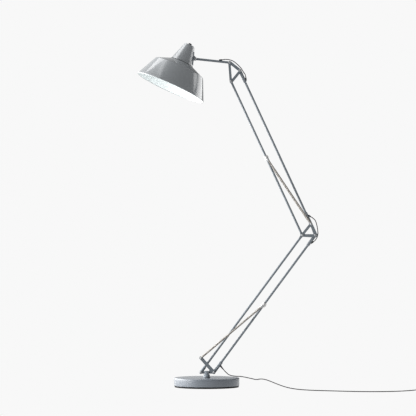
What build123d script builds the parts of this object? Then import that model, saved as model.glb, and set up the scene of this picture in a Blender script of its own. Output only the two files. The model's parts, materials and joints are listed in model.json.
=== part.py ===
"""Floor lamp on a round base, with two arms that are parallelograms of rods balanced by springs.

Millimetres. X is right, Y is away from the viewer, Z is up, and the origin is the centre of the
base's underside. Both arms lie in the plane Y = 0, and every pivot's axis runs along Y.
A lean is in degrees from vertical, to the right.
"""

import math
import os

from build123d import *

os.makedirs("parts", exist_ok=True)

# Driving sizes of the linkage
ARM_LENGTH = 916.0
LOWER_LEAN = 36.6
UPPER_LEAN = -24.65
LINK_SPACING = Vector(70, 0, 0)
ELBOW_RISE = Vector(47.5, 0, 59.2)
BASE_RIGHT = Vector(38.5, 0, 78)
LOWER_ANCHOR = Vector(-31, 0, 155)
HEAD_TOP_OFFSET = Vector(-8, 0, 104)
HEAD_TUBE_LENGTH = 187.5
HEAD_TUBE_LEAN = -83.8
LOWER_COLLAR_AT = 450.0
UPPER_COLLAR_AT = 460.0

# Base
BASE_RADIUS = 175.0
BASE_TOP = 50.0
PAD_RADIUS = 172.0
PAD_THICKNESS = 6.0
COVER_WALL = 2.0
WEIGHT_RADIUS = 171.0
WEIGHT_THICKNESS = 26.0
SPINDLE_RADIUS = 7.0
SPINDLE_TIP_RADIUS = 5.0
SPINDLE_HEIGHT = 75.0
BOSS_RADIUS = 32.0
COVER_CORNER = 5.0
POST_RADIUS = 17.0
POST_TOP = 85.0
POST_STEP = 64.0
POST_FLOOR = 67.0
POST_SCREW = 2.5
POST_SCREW_X = 9.5
POST_SCREW_Z = 78.0
WASHER_THICKNESS = 2.0
WASHER_RIM = 2.0

# Rods, plates and bolts
ROD_RADIUS = 6.0
ROD_WALL = 1.0
HEAD_ROD_RADIUS = 6.25
EYE_RADIUS = 8.0
EYE_WIDTH = 17.8
NECK = 22.0
SPIGOT = 22.0
SOCKET_RADIUS = 8.5
SOCKET_LENGTH = 68.0
SHORT_SOCKET_LENGTH = 38.0
TAB_WIDTH = 9.0
FORK_GAP = 9.5
FORK_DEPTH = 12.5
FORK_ROOT = 4.0
COLLAR_RADIUS = 11.0
COLLAR_LENGTH = 24.0
PLATE_INNER = 9.0
PLATE_OUTER = 12.0
PLATE_CORNER = 8.0
ELBOW_HEEL = 12.0
ELBOW_BAR_INSIDE = 5.5
HEAD_BAR_INSIDE = 4.5
WINDOW_CORNER = 2.5
LEVER_FOOT = 9.0
LEVER_TIP = 8.0
LINK_BAR = 6.5
BOLT_RADIUS = 4.0
BOLT_HEAD_RADIUS = 6.8
BOLT_HEAD_HEIGHT = 4.5
BOLT_SOCKET = 2.6
NUT_RADIUS = 7.4
NUT_HEIGHT = 6.0
BOLT_END = 7.0
RUNNING_FIT = 0.05
OPEN_PIVOT_FIT = 0.4
GAP = 0.1

# Springs
SPRING_Y = 20.0
COIL_RADIUS = 4.1
WIRE = 1.8
SPRING_TURNS = 22
ANCHOR_RADIUS = 2.5
ANCHOR_END = 24.0
ANCHOR_HEAD_RADIUS = 4.2
ANCHOR_HEAD_HEIGHT = 2.2
HOOK_SLACK = COIL_RADIUS - WIRE / 2 - ANCHOR_RADIUS - GAP
HOOK_TRANSITION = 6.0
CAP_LENGTH = 14.0
CAP_WALL = 1.0

# Shade, along its own axis from the top of the neck
SHADE_LEAN = 24.0
TILT_DEPTH = 56.0
TILT_OFFSET = 58.5
NECK_TOP_RADIUS = 29.0
NECK_FOOT_RADIUS = 64.0
NECK_HEIGHT = 105.0
SHOULDER_RADIUS = 141.0
SHOULDER_DEPTH = 138.0
RIM_RADIUS = 194.0
RIM_DEPTH = 256.0
SHEET = 1.5
BEAD_RADIUS = 2.2
NIPPLE_RADIUS = 5.0
SHAFT_RADIUS = 4.2
KNOB_RADIUS = 9.0
KNOB_HEIGHT = 9.0
KNOB_FLUTES = 8
SADDLE_TOP = 26.0
SADDLE_FOOT = 92.0
SADDLE_ARC = 44.0
SADDLE_THICKNESS = 2.5

# Cords
CORD = 4.5
BOOT_WIDE = 5.0
BOOT_TAPER = 5.0
BOOT_LENGTH = 16.0
MAINS_BOOT_LENGTH = 24.0
COIL_CENTRE = Vector(1160, -216, 0)
COIL_START_ANGLE = 150.0
COIL_OUTER = 30.6
COIL_STEP = 5.8
COIL_CLIMB = 5.3
COIL_TURNS_IN = 2.0
COIL_TURNS = 5.5
PLUG_TAIL = 28.0
PLUG_WIDTH = 34.0
PLUG_HEIGHT = 14.0
PLUG_SHOULDER = 16.0
PLUG_BODY = 19.0
PIN_RADIUS = 2.0
PIN_LENGTH = 19.0
PIN_SPACING = 19.0


def direction(lean):
    """Unit vector that leans from vertical."""
    turned = math.radians(lean)
    return Vector(math.sin(turned), 0, math.cos(turned))


def quarter_right(way):
    """The same vector a quarter turn clockwise, seen from the front."""
    return Vector(way.Z, 0, -way.X)


BASE_LEFT = BASE_RIGHT - LINK_SPACING
ELBOW_RIGHT = BASE_RIGHT + direction(LOWER_LEAN) * ARM_LENGTH
ELBOW_LEFT = ELBOW_RIGHT - LINK_SPACING
ELBOW_TOP = ELBOW_LEFT + ELBOW_RISE
HEAD_LEFT = ELBOW_LEFT + direction(UPPER_LEAN) * ARM_LENGTH
HEAD_RIGHT = HEAD_LEFT + ELBOW_RISE
HEAD_TOP = HEAD_LEFT + HEAD_TOP_OFFSET
TILT = HEAD_TOP + direction(HEAD_TUBE_LEAN) * HEAD_TUBE_LENGTH
LOWER_COLLAR = BASE_RIGHT + direction(LOWER_LEAN) * LOWER_COLLAR_AT
UPPER_COLLAR = ELBOW_LEFT + direction(UPPER_LEAN) * UPPER_COLLAR_AT
SHADE_UP = direction(SHADE_LEAN)
SHADE_TOP = TILT - quarter_right(SHADE_UP) * TILT_OFFSET + SHADE_UP * TILT_DEPTH
SHADE_PLANE = Plane(origin=SHADE_TOP, x_dir=quarter_right(SHADE_UP), z_dir=SHADE_UP)


def side_plane(y):
    """A plane at depth y that faces the front: its x is X and its y is Z."""
    return Plane(origin=(0, y, 0), x_dir=(1, 0, 0), z_dir=(0, -1, 0))


def xz(point):
    """A point's place on a side plane."""
    return (point.X, point.Z)


def group(parts):
    """Separate solids that share one node."""
    return Compound([solid for part in parts for solid in part.solids()])


def save(part, name):
    """Write one node's file."""
    part.label = name
    export_step(part, f"parts/{name}.step")


def cylinder_y(point, radius, y_front, y_back):
    """A round bar along Y."""
    with BuildPart() as bar:
        with BuildSketch(side_plane(y_back)):
            with Locations(xz(point)):
                Circle(radius)
        extrude(amount=y_back - y_front)
    return bar.part


def cylinder_along(start, way, radius, length):
    """A round bar that starts at a point and runs one way."""
    with BuildPart() as bar:
        with BuildSketch(Plane(start, z_dir=way)):
            Circle(radius)
        extrude(amount=length)
    return bar.part


def revolved(points, rounded=()):
    """A body of revolution about Z from an outline of (radius, height) points. rounded pairs an outline
    point with the radius that rounds it."""
    with BuildPart() as body:
        with BuildSketch(Plane.XZ) as outline:
            with BuildLine():
                Polyline(*points, close=True)
            make_face()
            for corner, radius in rounded:
                nearest = outline.vertices().sort_by_distance((corner[0], corner[1], 0))[0]
                fillet(nearest, radius)
        revolve(axis=Axis.Z)
    return body.part


# Base


def foot_pad():
    """Rubber sheet under the base."""
    return revolved([(0, 0), (PAD_RADIUS, 0), (PAD_RADIUS, PAD_THICKNESS), (0, PAD_THICKNESS)])


def base_weight():
    """Cast iron disc with a boss that carries the cover's top and the spindle."""
    floor = PAD_THICKNESS + GAP
    top = floor + WEIGHT_THICKNESS
    boss_top = BASE_TOP - COVER_WALL - GAP
    bore = SPINDLE_RADIUS + RUNNING_FIT
    return revolved(
        [
            (bore, floor),
            (WEIGHT_RADIUS, floor),
            (WEIGHT_RADIUS, top),
            (BOSS_RADIUS, top),
            (BOSS_RADIUS, boss_top),
            (bore, boss_top),
        ]
    )


def base_cover():
    """Pressed steel cover with a rounded edge."""
    bottom = PAD_THICKNESS + GAP
    inside = BASE_RADIUS - COVER_WALL
    under = BASE_TOP - COVER_WALL
    hole = SPINDLE_RADIUS + 1.5
    corner = (BASE_RADIUS, BASE_TOP)
    bend = (inside, under)
    outline = [(hole, BASE_TOP), corner, (BASE_RADIUS, bottom), (inside, bottom), bend, (hole, under)]
    return revolved(outline, [(corner, COVER_CORNER), (bend, COVER_CORNER - COVER_WALL)])


def base_spindle():
    """Steel stud that the post turns on."""
    foot = PAD_THICKNESS + 6
    shoulder = POST_STEP - GAP
    return revolved(
        [
            (0, foot),
            (SPINDLE_RADIUS, foot),
            (SPINDLE_RADIUS, shoulder),
            (SPINDLE_TIP_RADIUS, shoulder),
            (SPINDLE_TIP_RADIUS, SPINDLE_HEIGHT),
            (0, SPINDLE_HEIGHT),
        ]
    )


def spindle_nut():
    """Nut that holds the post down on its washer."""
    with BuildPart() as nut:
        with BuildSketch(Plane.XY.offset(POST_FLOOR + GAP)):
            RegularPolygon(8.4, 6)
            Circle(SPINDLE_TIP_RADIUS + RUNNING_FIT, mode=Mode.SUBTRACT)
        extrude(amount=5)
    return nut.part


def friction_washer():
    """Nylon washer that the post turns on."""
    low = BASE_TOP + GAP
    high = low + WASHER_THICKNESS
    inner = SPINDLE_RADIUS + 2 * GAP
    outer = POST_RADIUS + WASHER_RIM
    return revolved([(inner, low), (outer, low), (outer, high), (inner, high)])


# Turret


def post_screw_points():
    """Where the two screws of each lever plate go into the post."""
    return [(-POST_SCREW_X, POST_SCREW_Z), (POST_SCREW_X, POST_SCREW_Z)]


def swivel_post():
    """Turned post, slotted across its top for the two lever plates."""
    bottom = BASE_TOP + 2 * GAP + WASHER_THICKNESS
    with BuildPart() as post:
        with BuildSketch(Plane.XY.offset(bottom)):
            Circle(POST_RADIUS)
        extrude(amount=POST_TOP - bottom)
        chamfer(post.faces().sort_by(Axis.Z)[-1].edges(), 1)
        with BuildSketch(Plane.XY.offset(bottom)):
            Circle(SPINDLE_RADIUS + RUNNING_FIT)
        extrude(amount=POST_STEP - bottom, mode=Mode.SUBTRACT)
        with BuildSketch(Plane.XY.offset(POST_STEP)):
            Circle(SPINDLE_TIP_RADIUS + RUNNING_FIT)
        extrude(amount=POST_FLOOR - POST_STEP, mode=Mode.SUBTRACT)
        with BuildSketch(Plane.XY.offset(POST_FLOOR)):
            Rectangle(4 * POST_RADIUS, 2 * (PLATE_OUTER + RUNNING_FIT))
        extrude(amount=POST_RADIUS * 2, mode=Mode.SUBTRACT)
        with BuildSketch(side_plane(2 * POST_RADIUS)):
            with Locations(*post_screw_points()):
                Circle(POST_SCREW + RUNNING_FIT)
        extrude(amount=4 * POST_RADIUS, mode=Mode.SUBTRACT)
    return post.part


def lever_plates():
    """Front and rear plates: a level bar between the lower pivots, and the lever to the springs, with a
    small gusset in the corner between them."""
    lever_way = (LOWER_ANCHOR - BASE_RIGHT).normalized()
    gusset_low = BASE_RIGHT + Vector(-26.5, 0, LINK_BAR - 0.5)
    gusset_high = BASE_RIGHT + lever_way * 30

    def plate(y_back):
        with BuildPart() as one:
            with BuildSketch(side_plane(y_back)):
                with Locations(xz(BASE_LEFT), xz(BASE_RIGHT)):
                    Circle(LINK_BAR)
                make_hull()
            extrude(amount=PLATE_OUTER - PLATE_INNER)
            with BuildSketch(side_plane(y_back)):
                with Locations(xz(BASE_RIGHT)):
                    Circle(LEVER_FOOT)
                with Locations(xz(LOWER_ANCHOR)):
                    Circle(LEVER_TIP)
                make_hull()
            extrude(amount=PLATE_OUTER - PLATE_INNER)
            with BuildSketch(side_plane(y_back)):
                Polygon(xz(BASE_RIGHT), xz(gusset_low), xz(gusset_high), align=None)
            extrude(amount=PLATE_OUTER - PLATE_INNER)
            with BuildSketch(side_plane(y_back)):
                with Locations(xz(BASE_LEFT), xz(BASE_RIGHT)):
                    Circle(BOLT_RADIUS + RUNNING_FIT)
                with Locations(xz(LOWER_ANCHOR)):
                    Circle(ANCHOR_RADIUS + RUNNING_FIT)
                with Locations(*post_screw_points()):
                    Circle(POST_SCREW + RUNNING_FIT)
            extrude(amount=PLATE_OUTER - PLATE_INNER, mode=Mode.SUBTRACT)
        return one.part

    return group([plate(-PLATE_INNER), plate(PLATE_OUTER)])


def post_screws():
    """Four short screws, from the post's two cheeks into the plates."""
    outside = math.sqrt(POST_RADIUS**2 - POST_SCREW_X**2)
    screws = []
    for x, z in post_screw_points():
        at = Vector(x, 0, z)
        screws.append(cylinder_y(at, POST_SCREW, -outside, -PLATE_INNER))
        screws.append(cylinder_y(at, POST_SCREW, PLATE_INNER, outside))
    return group(screws)


def domed_bolt(point, reach=PLATE_OUTER, neck=None):
    """Bolt along Y with a domed socket head in front, and its nut behind. neck thins the shank outside
    the plates, where a spring hooks on."""
    front = -reach - GAP
    back = reach + GAP
    with BuildPart() as bolt:
        with BuildSketch(side_plane(back + BOLT_END)):
            with Locations(xz(point)):
                Circle(neck or BOLT_RADIUS)
        extrude(amount=back + BOLT_END - front)
        if neck:
            with BuildSketch(side_plane(PLATE_OUTER + GAP)):
                with Locations(xz(point)):
                    Circle(BOLT_RADIUS)
            extrude(amount=2 * (PLATE_OUTER + GAP))
        with BuildSketch(side_plane(front)):
            with Locations(xz(point)):
                Circle(BOLT_HEAD_RADIUS)
        extrude(amount=BOLT_HEAD_HEIGHT)
        fillet(bolt.edges().group_by(Axis.Y)[0], 2.5)
        with BuildSketch(side_plane(front - BOLT_HEAD_HEIGHT)):
            with Locations(xz(point)):
                RegularPolygon(BOLT_SOCKET, 6)
        extrude(amount=-BOLT_SOCKET, mode=Mode.SUBTRACT)
    with BuildPart() as nut:
        with BuildSketch(side_plane(back + NUT_HEIGHT)):
            with Locations(xz(point)):
                RegularPolygon(NUT_RADIUS, 6)
                Circle((neck or BOLT_RADIUS) + RUNNING_FIT / 2, mode=Mode.SUBTRACT)
        extrude(amount=NUT_HEIGHT)
    return [bolt.part, nut.part]


def bolts(*points):
    """Plain pivot bolts, each with its nut."""
    return [piece for point in points for piece in domed_bolt(point)]


def hook_stud(point, start):
    """Front half of a cross pin, with a head so that the hook stays on."""
    with BuildPart() as stud:
        with BuildSketch(side_plane(-start)):
            with Locations(xz(point)):
                Circle(ANCHOR_RADIUS)
        extrude(amount=ANCHOR_END - start)
        with BuildSketch(side_plane(-ANCHOR_END)):
            with Locations(xz(point)):
                Circle(ANCHOR_HEAD_RADIUS)
        extrude(amount=ANCHOR_HEAD_HEIGHT)
        chamfer(stud.edges().group_by(Axis.Y)[0], 0.8)
    return stud.part


def anchor_pin(point):
    """Pin across both lever plates, with a head at each end."""
    front = hook_stud(point, 0)
    return front + front.mirror(Plane.XZ)


def spacer(point):
    """Tube that keeps the two plates apart."""
    with BuildPart() as tube:
        with BuildSketch(side_plane(PLATE_INNER - GAP)):
            with Locations(xz(point)):
                Circle(2 * ANCHOR_RADIUS)
                Circle(ANCHOR_RADIUS + RUNNING_FIT, mode=Mode.SUBTRACT)
        extrude(amount=2 * (PLATE_INNER - GAP))
    return tube.part


# Rods and their ends


def rod(start, way, near, far, radius=ROD_RADIUS):
    """Thin-walled tube between two distances from a pivot."""
    with BuildPart() as tube:
        with BuildSketch(Plane(start + way * near, z_dir=way)):
            Circle(radius)
            Circle(radius - ROD_WALL, mode=Mode.SUBTRACT)
        extrude(amount=far - near)
    return tube.part


def slim_end(pivot, way, hole, radius=ROD_RADIUS, eye=EYE_RADIUS):
    """Barrel across the pivot, a neck as wide as the rod, and a spigot inside it."""
    with BuildPart() as end:
        with BuildSketch(side_plane(EYE_WIDTH / 2)):
            with Locations(xz(pivot)):
                Circle(eye)
        extrude(amount=EYE_WIDTH)
        with BuildSketch(Plane(pivot, z_dir=way)):
            Circle(radius)
        extrude(amount=NECK)
        with BuildSketch(Plane(pivot + way * NECK, z_dir=way)):
            Circle(radius - ROD_WALL - RUNNING_FIT)
        extrude(amount=SPIGOT)
        with BuildSketch(side_plane(EYE_WIDTH)):
            with Locations(xz(pivot)):
                Circle(hole)
        extrude(amount=2 * EYE_WIDTH, mode=Mode.SUBTRACT)
    return end.part


def socket_end(pivot, way, length=SOCKET_LENGTH):
    """Barrel across the pivot, and a thick socket that the rod sits in."""
    with BuildPart() as end:
        with BuildSketch(side_plane(EYE_WIDTH / 2)):
            with Locations(xz(pivot)):
                Circle(SOCKET_RADIUS)
        extrude(amount=EYE_WIDTH)
        with BuildSketch(Plane(pivot, z_dir=way)):
            Circle(SOCKET_RADIUS)
        extrude(amount=length)
        with BuildSketch(Plane(pivot + way * NECK, z_dir=way)):
            Circle(ROD_RADIUS + RUNNING_FIT)
        extrude(amount=length, mode=Mode.SUBTRACT)
        with BuildSketch(side_plane(EYE_WIDTH)):
            with Locations(xz(pivot)):
                Circle(BOLT_RADIUS + RUNNING_FIT)
        extrude(amount=2 * EYE_WIDTH, mode=Mode.SUBTRACT)
    return end.part


def tab_end(pivot, way):
    """Flat tab that turns between the cheeks of the other rod's fork."""
    with BuildPart() as end:
        with BuildSketch(side_plane(TAB_WIDTH / 2)):
            with Locations(xz(pivot)):
                Circle(EYE_RADIUS)
            with Locations(xz(pivot + way * 15)):
                Circle(ROD_RADIUS)
            make_hull()
        extrude(amount=TAB_WIDTH)
        with BuildSketch(Plane(pivot + way * 14, z_dir=way)):
            Circle(ROD_RADIUS)
        extrude(amount=NECK - 14)
        with BuildSketch(Plane(pivot + way * NECK, z_dir=way)):
            Circle(ROD_RADIUS - ROD_WALL - RUNNING_FIT)
        extrude(amount=SPIGOT)
        with BuildSketch(side_plane(EYE_WIDTH)):
            with Locations(xz(pivot)):
                Circle(BOLT_RADIUS + RUNNING_FIT)
        extrude(amount=2 * EYE_WIDTH, mode=Mode.SUBTRACT)
    return end.part


def fork_end(pivot, way):
    """Two cheeks on the same bolt as the other rod's tab."""
    with BuildPart() as end:
        with BuildSketch(side_plane(EYE_WIDTH / 2)):
            with Locations(xz(pivot)):
                Circle(EYE_RADIUS)
            with Locations(xz(pivot + way * (NECK - FORK_ROOT - 1))):
                Circle(ROD_RADIUS)
            make_hull()
        extrude(amount=EYE_WIDTH)
        with BuildSketch(Plane(pivot + way * (NECK - FORK_ROOT), z_dir=way)):
            Circle(ROD_RADIUS)
        extrude(amount=2 * FORK_ROOT)
        with BuildSketch(Plane(pivot + way * (NECK + FORK_ROOT), z_dir=way)):
            Circle(ROD_RADIUS - ROD_WALL - RUNNING_FIT)
        extrude(amount=SPIGOT)
        with BuildSketch(Plane(pivot + way * FORK_DEPTH, z_dir=way * -1, x_dir=(0, 1, 0))):
            Rectangle(FORK_GAP, 4 * EYE_RADIUS)
        extrude(amount=3 * EYE_RADIUS, mode=Mode.SUBTRACT)
        with BuildSketch(side_plane(EYE_WIDTH)):
            with Locations(xz(pivot)):
                Circle(BOLT_RADIUS + OPEN_PIVOT_FIT)
        extrude(amount=2 * EYE_WIDTH, mode=Mode.SUBTRACT)
    return end.part


def collar(centre, way):
    """Clamp ring on a rod."""
    with BuildPart() as ring:
        with BuildSketch(Plane(centre - way * COLLAR_LENGTH / 2, z_dir=way)):
            Circle(COLLAR_RADIUS)
        extrude(amount=COLLAR_LENGTH)
        chamfer(ring.edges().filter_by(GeomType.CIRCLE), 1.2)
        with BuildSketch(Plane(centre - way * COLLAR_LENGTH, z_dir=way)):
            Circle(ROD_RADIUS + RUNNING_FIT)
        extrude(amount=2 * COLLAR_LENGTH, mode=Mode.SUBTRACT)
    studs = collar_studs(centre, way)
    return ring.part - group(studs)


def collar_studs(centre, way):
    """Two headed studs for the springs, and the screw that clamps the ring."""
    across = quarter_right(way)
    front = hook_stud(centre, ROD_RADIUS + 1)
    return [front, front.mirror(Plane.XZ), cylinder_along(centre + across * (ROD_RADIUS + 1), across, 2.5, 6)]


# Plates of the elbow and the head


def triangle_plates(corners, radii, inside):
    """Front and rear triangular frames with a pivot hole at each corner. inside is how far each bar
    reaches in from the line between two pivots."""

    def plate(y_back):
        with BuildPart() as one:
            with BuildSketch(side_plane(y_back)):
                for corner, radius in zip(corners, radii):
                    with Locations(xz(corner)):
                        Circle(radius)
                make_hull()
            extrude(amount=PLATE_OUTER - PLATE_INNER)
            with BuildSketch(side_plane(y_back)) as window:
                Polygon(*[xz(corner) for corner in corners], align=None)
                offset(amount=-inside, kind=Kind.INTERSECTION, mode=Mode.REPLACE)
                fillet(window.vertices(), WINDOW_CORNER)
            extrude(amount=PLATE_OUTER - PLATE_INNER, mode=Mode.SUBTRACT)
            with BuildSketch(side_plane(y_back)):
                with Locations(*[xz(corner) for corner in corners]):
                    Circle(BOLT_RADIUS + RUNNING_FIT)
            extrude(amount=PLATE_OUTER - PLATE_INNER, mode=Mode.SUBTRACT)
        return one.part

    return group([plate(-PLATE_INNER), plate(PLATE_OUTER)])


# Paths of wire and cord


def biarc(start, start_way, end, end_way):
    """Two arcs in a row that leave and arrive in given directions, as edges."""
    span = end - start
    ways = start_way + end_way
    spread = 1 - start_way.dot(end_way)
    if spread < 1e-9:
        reach = span.dot(span) / (2 * span.dot(ways))
    else:
        root = math.sqrt(span.dot(ways) ** 2 + 2 * spread * span.dot(span))
        reach = (root - span.dot(ways)) / (2 * spread)
    first = start + start_way * reach
    second = end - end_way * reach
    middle = (first + second) * 0.5
    middle_way = (second - first).normalized()
    return [
        Edge.make_tangent_arc(start, start_way, middle),
        Edge.make_tangent_arc(middle, middle_way, end),
    ]


def arcs_through(stations):
    """Biarcs between (point, direction) stations."""
    edges = []
    for (start, start_way), (end, end_way) in zip(stations, stations[1:]):
        edges.extend(biarc(start, start_way, end, end_way))
    return edges


def least_gap(edges, thickness, apart):
    """Least space between stretches of a tube that lie more than a given length apart along it."""
    points = [edge.position_at(share / 6) for edge in edges for share in range(6)]
    runs = [0.0]
    for before, after in zip(points, points[1:]):
        runs.append(runs[-1] + (after - before).length)
    places = [(p.X, p.Y, p.Z) for p in points]
    least = math.inf
    for i, place in enumerate(places):
        for j in range(i + 1, len(places)):
            if runs[j] - runs[i] > apart:
                least = min(least, math.dist(place, places[j]))
    return least - thickness


def wound_tube(edges, thickness):
    """A round tube swept along arcs."""
    path = Wire(edges)
    with BuildPart() as tube:
        with BuildSketch(Plane(path.position_at(0), z_dir=path.tangent_at(0))):
            Circle(thickness / 2)
        sweep(path=path)
    return tube.part


def spring_stations(anchor, stud, y):
    """Stations along an extension spring: a hook round the anchor, the coil, a hook round the stud."""
    along = (stud - anchor).normalized()
    across = quarter_right(along)
    depth = Vector(0, 1, 0)
    length = (stud - anchor).length

    def station(place, way):
        point = anchor + depth * y + along * place[0] + across * place[1] + depth * place[2]
        return point, (along * way[0] + across * way[1] + depth * way[2]).normalized()

    def hook(angle):
        turned = math.radians(angle)
        s, c = math.sin(turned), math.cos(turned)
        return (COIL_RADIUS * c, COIL_RADIUS * s, 0), (-s, c, 0)

    coil_start = HOOK_SLACK + HOOK_TRANSITION
    turn_end = 360 * SPRING_TURNS + 135
    pitch = (length - 2 * coil_start) / (turn_end - 225) * 360

    def coil(angle):
        turned = math.radians(angle)
        s, c = math.sin(turned), math.cos(turned)
        place = (coil_start + pitch * (angle - 225) / 360, COIL_RADIUS * c, COIL_RADIUS * s)
        return place, (pitch / math.tau, -COIL_RADIUS * s, COIL_RADIUS * c)

    stations = []
    for angle in (40, 90, 180, 270):
        place, way = hook(angle)
        stations.append(station((place[0] + HOOK_SLACK, place[1], 0), way))
    for angle in [*range(225, turn_end, 180), turn_end]:
        stations.append(station(*coil(angle)))
    for angle in (270, 360, 450, 500):
        place, way = hook(angle)
        stations.append(station((place[0] + length - HOOK_SLACK, place[1], 0), way))
    return stations


def spring(anchor, stud, y, name):
    """Extension spring with a hook at each end."""
    edges = arcs_through(spring_stations(anchor, stud, y))
    gap = least_gap(edges, WIRE, 4 * COIL_RADIUS)
    print(f"{name}: {SPRING_TURNS} turns and 2 hooks, least gap {gap:.2f} mm")
    return wound_tube(edges, WIRE)


def spring_caps(anchor, stud):
    """Turned caps over the two coils' ends beside the studs."""
    along = (stud - anchor).normalized()
    length = (stud - anchor).length
    inner = COIL_RADIUS + WIRE / 2 + 0.3
    start = length - HOOK_SLACK - HOOK_TRANSITION - CAP_LENGTH
    caps = []
    for y in (-SPRING_Y, SPRING_Y):
        with BuildPart() as cap:
            with BuildSketch(Plane(anchor + Vector(0, y, 0) + along * start, z_dir=along)):
                Circle(inner + CAP_WALL)
                Circle(inner, mode=Mode.SUBTRACT)
            extrude(amount=CAP_LENGTH)
        caps.append(cap.part)
    return group(caps)


def boot(pivot, way, distance, side, turn, core, length=BOOT_LENGTH):
    """Rubber bush that a cable leaves a rod through, and the cable's first point and direction. turn is
    in degrees off the rod's own direction, core is the radius it is cut back to inside."""
    across = quarter_right(way) * side
    turned = math.radians(turn)
    out = way * math.cos(turned) + across * math.sin(turned)
    root = pivot + way * distance + across * (core + 1)
    with BuildPart() as bush:
        with BuildSketch(Plane(root, z_dir=out)):
            Circle(BOOT_WIDE)
        extrude(amount=length, taper=BOOT_TAPER)
    inside = cylinder_along(pivot + way * (distance - 40), way, core, 80)
    return bush.part - inside, root + out * length, out


def corner_radii(points):
    """The largest radius that each corner's two runs allow."""
    radii = []
    for before, corner, after in zip(points, points[1:], points[2:]):
        arriving = corner - before
        leaving = after - corner
        turn = math.radians(arriving.get_angle(leaving))
        radii.append(0.45 * min(arriving.length, leaving.length) / math.tan(turn / 2))
    return radii


def cord_tube(points, name):
    """A cord along straight runs joined by tangent arcs."""
    radii = corner_radii(points)
    with BuildPart() as tube:
        with BuildLine() as route:
            FilletPolyline(*points, radius=radii)
        with BuildSketch(Plane(points[0], z_dir=points[1] - points[0])):
            Circle(CORD / 2)
        sweep(path=route.wires()[0])
    length = route.wires()[0].length
    section = math.pi * CORD**2 / 4
    print(f"{name}: {length:.0f} mm, radii {' '.join(f'{r:.0f}' for r in radii)}")
    print(f"{name}: volume {tube.part.volume:.0f}, section times length {section * length:.0f}")
    return tube.part


# Put-away coil of the mains cord


def coil_place(turned):
    """A point of the put-away coil, a number of turns from its start: in, up a layer, and out again."""
    climb_end = COIL_TURNS_IN + 0.5
    radius = COIL_OUTER - COIL_STEP * min(turned, COIL_TURNS_IN) + COIL_STEP * max(turned - climb_end, 0)
    share = min(max((turned - COIL_TURNS_IN) / 0.5, 0), 1)
    height = CORD / 2 + COIL_CLIMB * share * share * (3 - 2 * share)
    angle = math.radians(COIL_START_ANGLE - 360 * turned)
    return COIL_CENTRE + Vector(radius * math.cos(angle), radius * math.sin(angle), height)


def coil_stations():
    """Stations a quarter turn apart round the put-away coil."""
    small = 0.002
    stations = []
    for step in range(int(COIL_TURNS * 4) + 1):
        turned = step / 4
        way = (coil_place(turned + small) - coil_place(turned - small)).normalized()
        if step == 0:
            way = (coil_place(small) - coil_place(0)).normalized()
        stations.append((coil_place(turned), way))
    return stations


# Shade, modelled upright with its top at the origin and placed on SHADE_PLANE


def on_shade(part):
    """Move an upright piece to where the shade hangs."""
    return SHADE_PLANE.location * part


def neck_radius(depth):
    """Outside radius of the neck housing."""
    return NECK_TOP_RADIUS + (NECK_FOOT_RADIUS - NECK_TOP_RADIUS) * depth / NECK_HEIGHT


def shade_neck():
    """Spun housing round the lampholder."""
    hole = NIPPLE_RADIUS + GAP
    top = (NECK_TOP_RADIUS, 0)
    under = (NECK_TOP_RADIUS - SHEET, -SHEET)
    outline = [
        (hole, 0),
        top,
        (NECK_FOOT_RADIUS, -NECK_HEIGHT),
        (NECK_FOOT_RADIUS - SHEET, -NECK_HEIGHT),
        under,
        (hole, -SHEET),
    ]
    return on_shade(revolved(outline, [(top, 4.0), (under, 2.5)]))


def shade_bell():
    """Spun bell: a short collar inside the neck, a shoulder, a skirt and a rolled rim."""
    collar_radius = neck_radius(NECK_HEIGHT - 12) - SHEET - 0.4
    seat = -NECK_HEIGHT - GAP
    with BuildPart() as bell:
        with BuildSketch(Plane.XZ):
            with BuildLine():
                FilletPolyline(
                    (collar_radius, seat + 12),
                    (collar_radius, seat),
                    (NECK_FOOT_RADIUS + 2, seat),
                    (SHOULDER_RADIUS, -SHOULDER_DEPTH),
                    (RIM_RADIUS, -RIM_DEPTH + BEAD_RADIUS),
                    radius=[2.0, 3.0, 12.0],
                )
                offset(amount=SHEET, side=Side.RIGHT)
            make_face()
            with Locations((RIM_RADIUS - SHEET / 2, -RIM_DEPTH + BEAD_RADIUS)):
                Circle(BEAD_RADIUS)
        revolve(axis=Axis.Z)
    return on_shade(bell.part)


def lampholder():
    """Lampholder under the neck's top. Its nipple goes through the top, and the switch's shaft into it."""
    bore = SHAFT_RADIUS + GAP
    top = -SHEET - GAP
    return on_shade(
        revolved(
            [
                (0, -12),
                (bore, -12),
                (bore, 1.4),
                (NIPPLE_RADIUS, 1.4),
                (NIPPLE_RADIUS, top),
                (17, top),
                (17, -14),
                (20, -18),
                (20, -62),
                (14.2, -62),
                (14.2, -24),
                (0, -24),
            ]
        )
    )


def lamp_cap():
    """Screw cap of the lamp, in the holder."""
    return on_shade(revolved([(0, -28), (10, -28), (13.2, -32), (13.2, -58), (0, -58)]))


def lamp_glass():
    """Glass bulb."""
    with BuildPart() as bulb:
        with BuildSketch(Plane.XZ):
            with BuildLine():
                top = Line((0, -58.1), (13, -58.1))
                side = Spline(top @ 1, (22, -84), (30, -116), tangents=((0.15, -1), (0, -1)))
                RadiusArc(side @ 1, (0, -146), 30)
                Line((0, -146), (0, -58.1))
            make_face()
        revolve(axis=Axis.Z)
    return on_shade(bulb.part)


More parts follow.
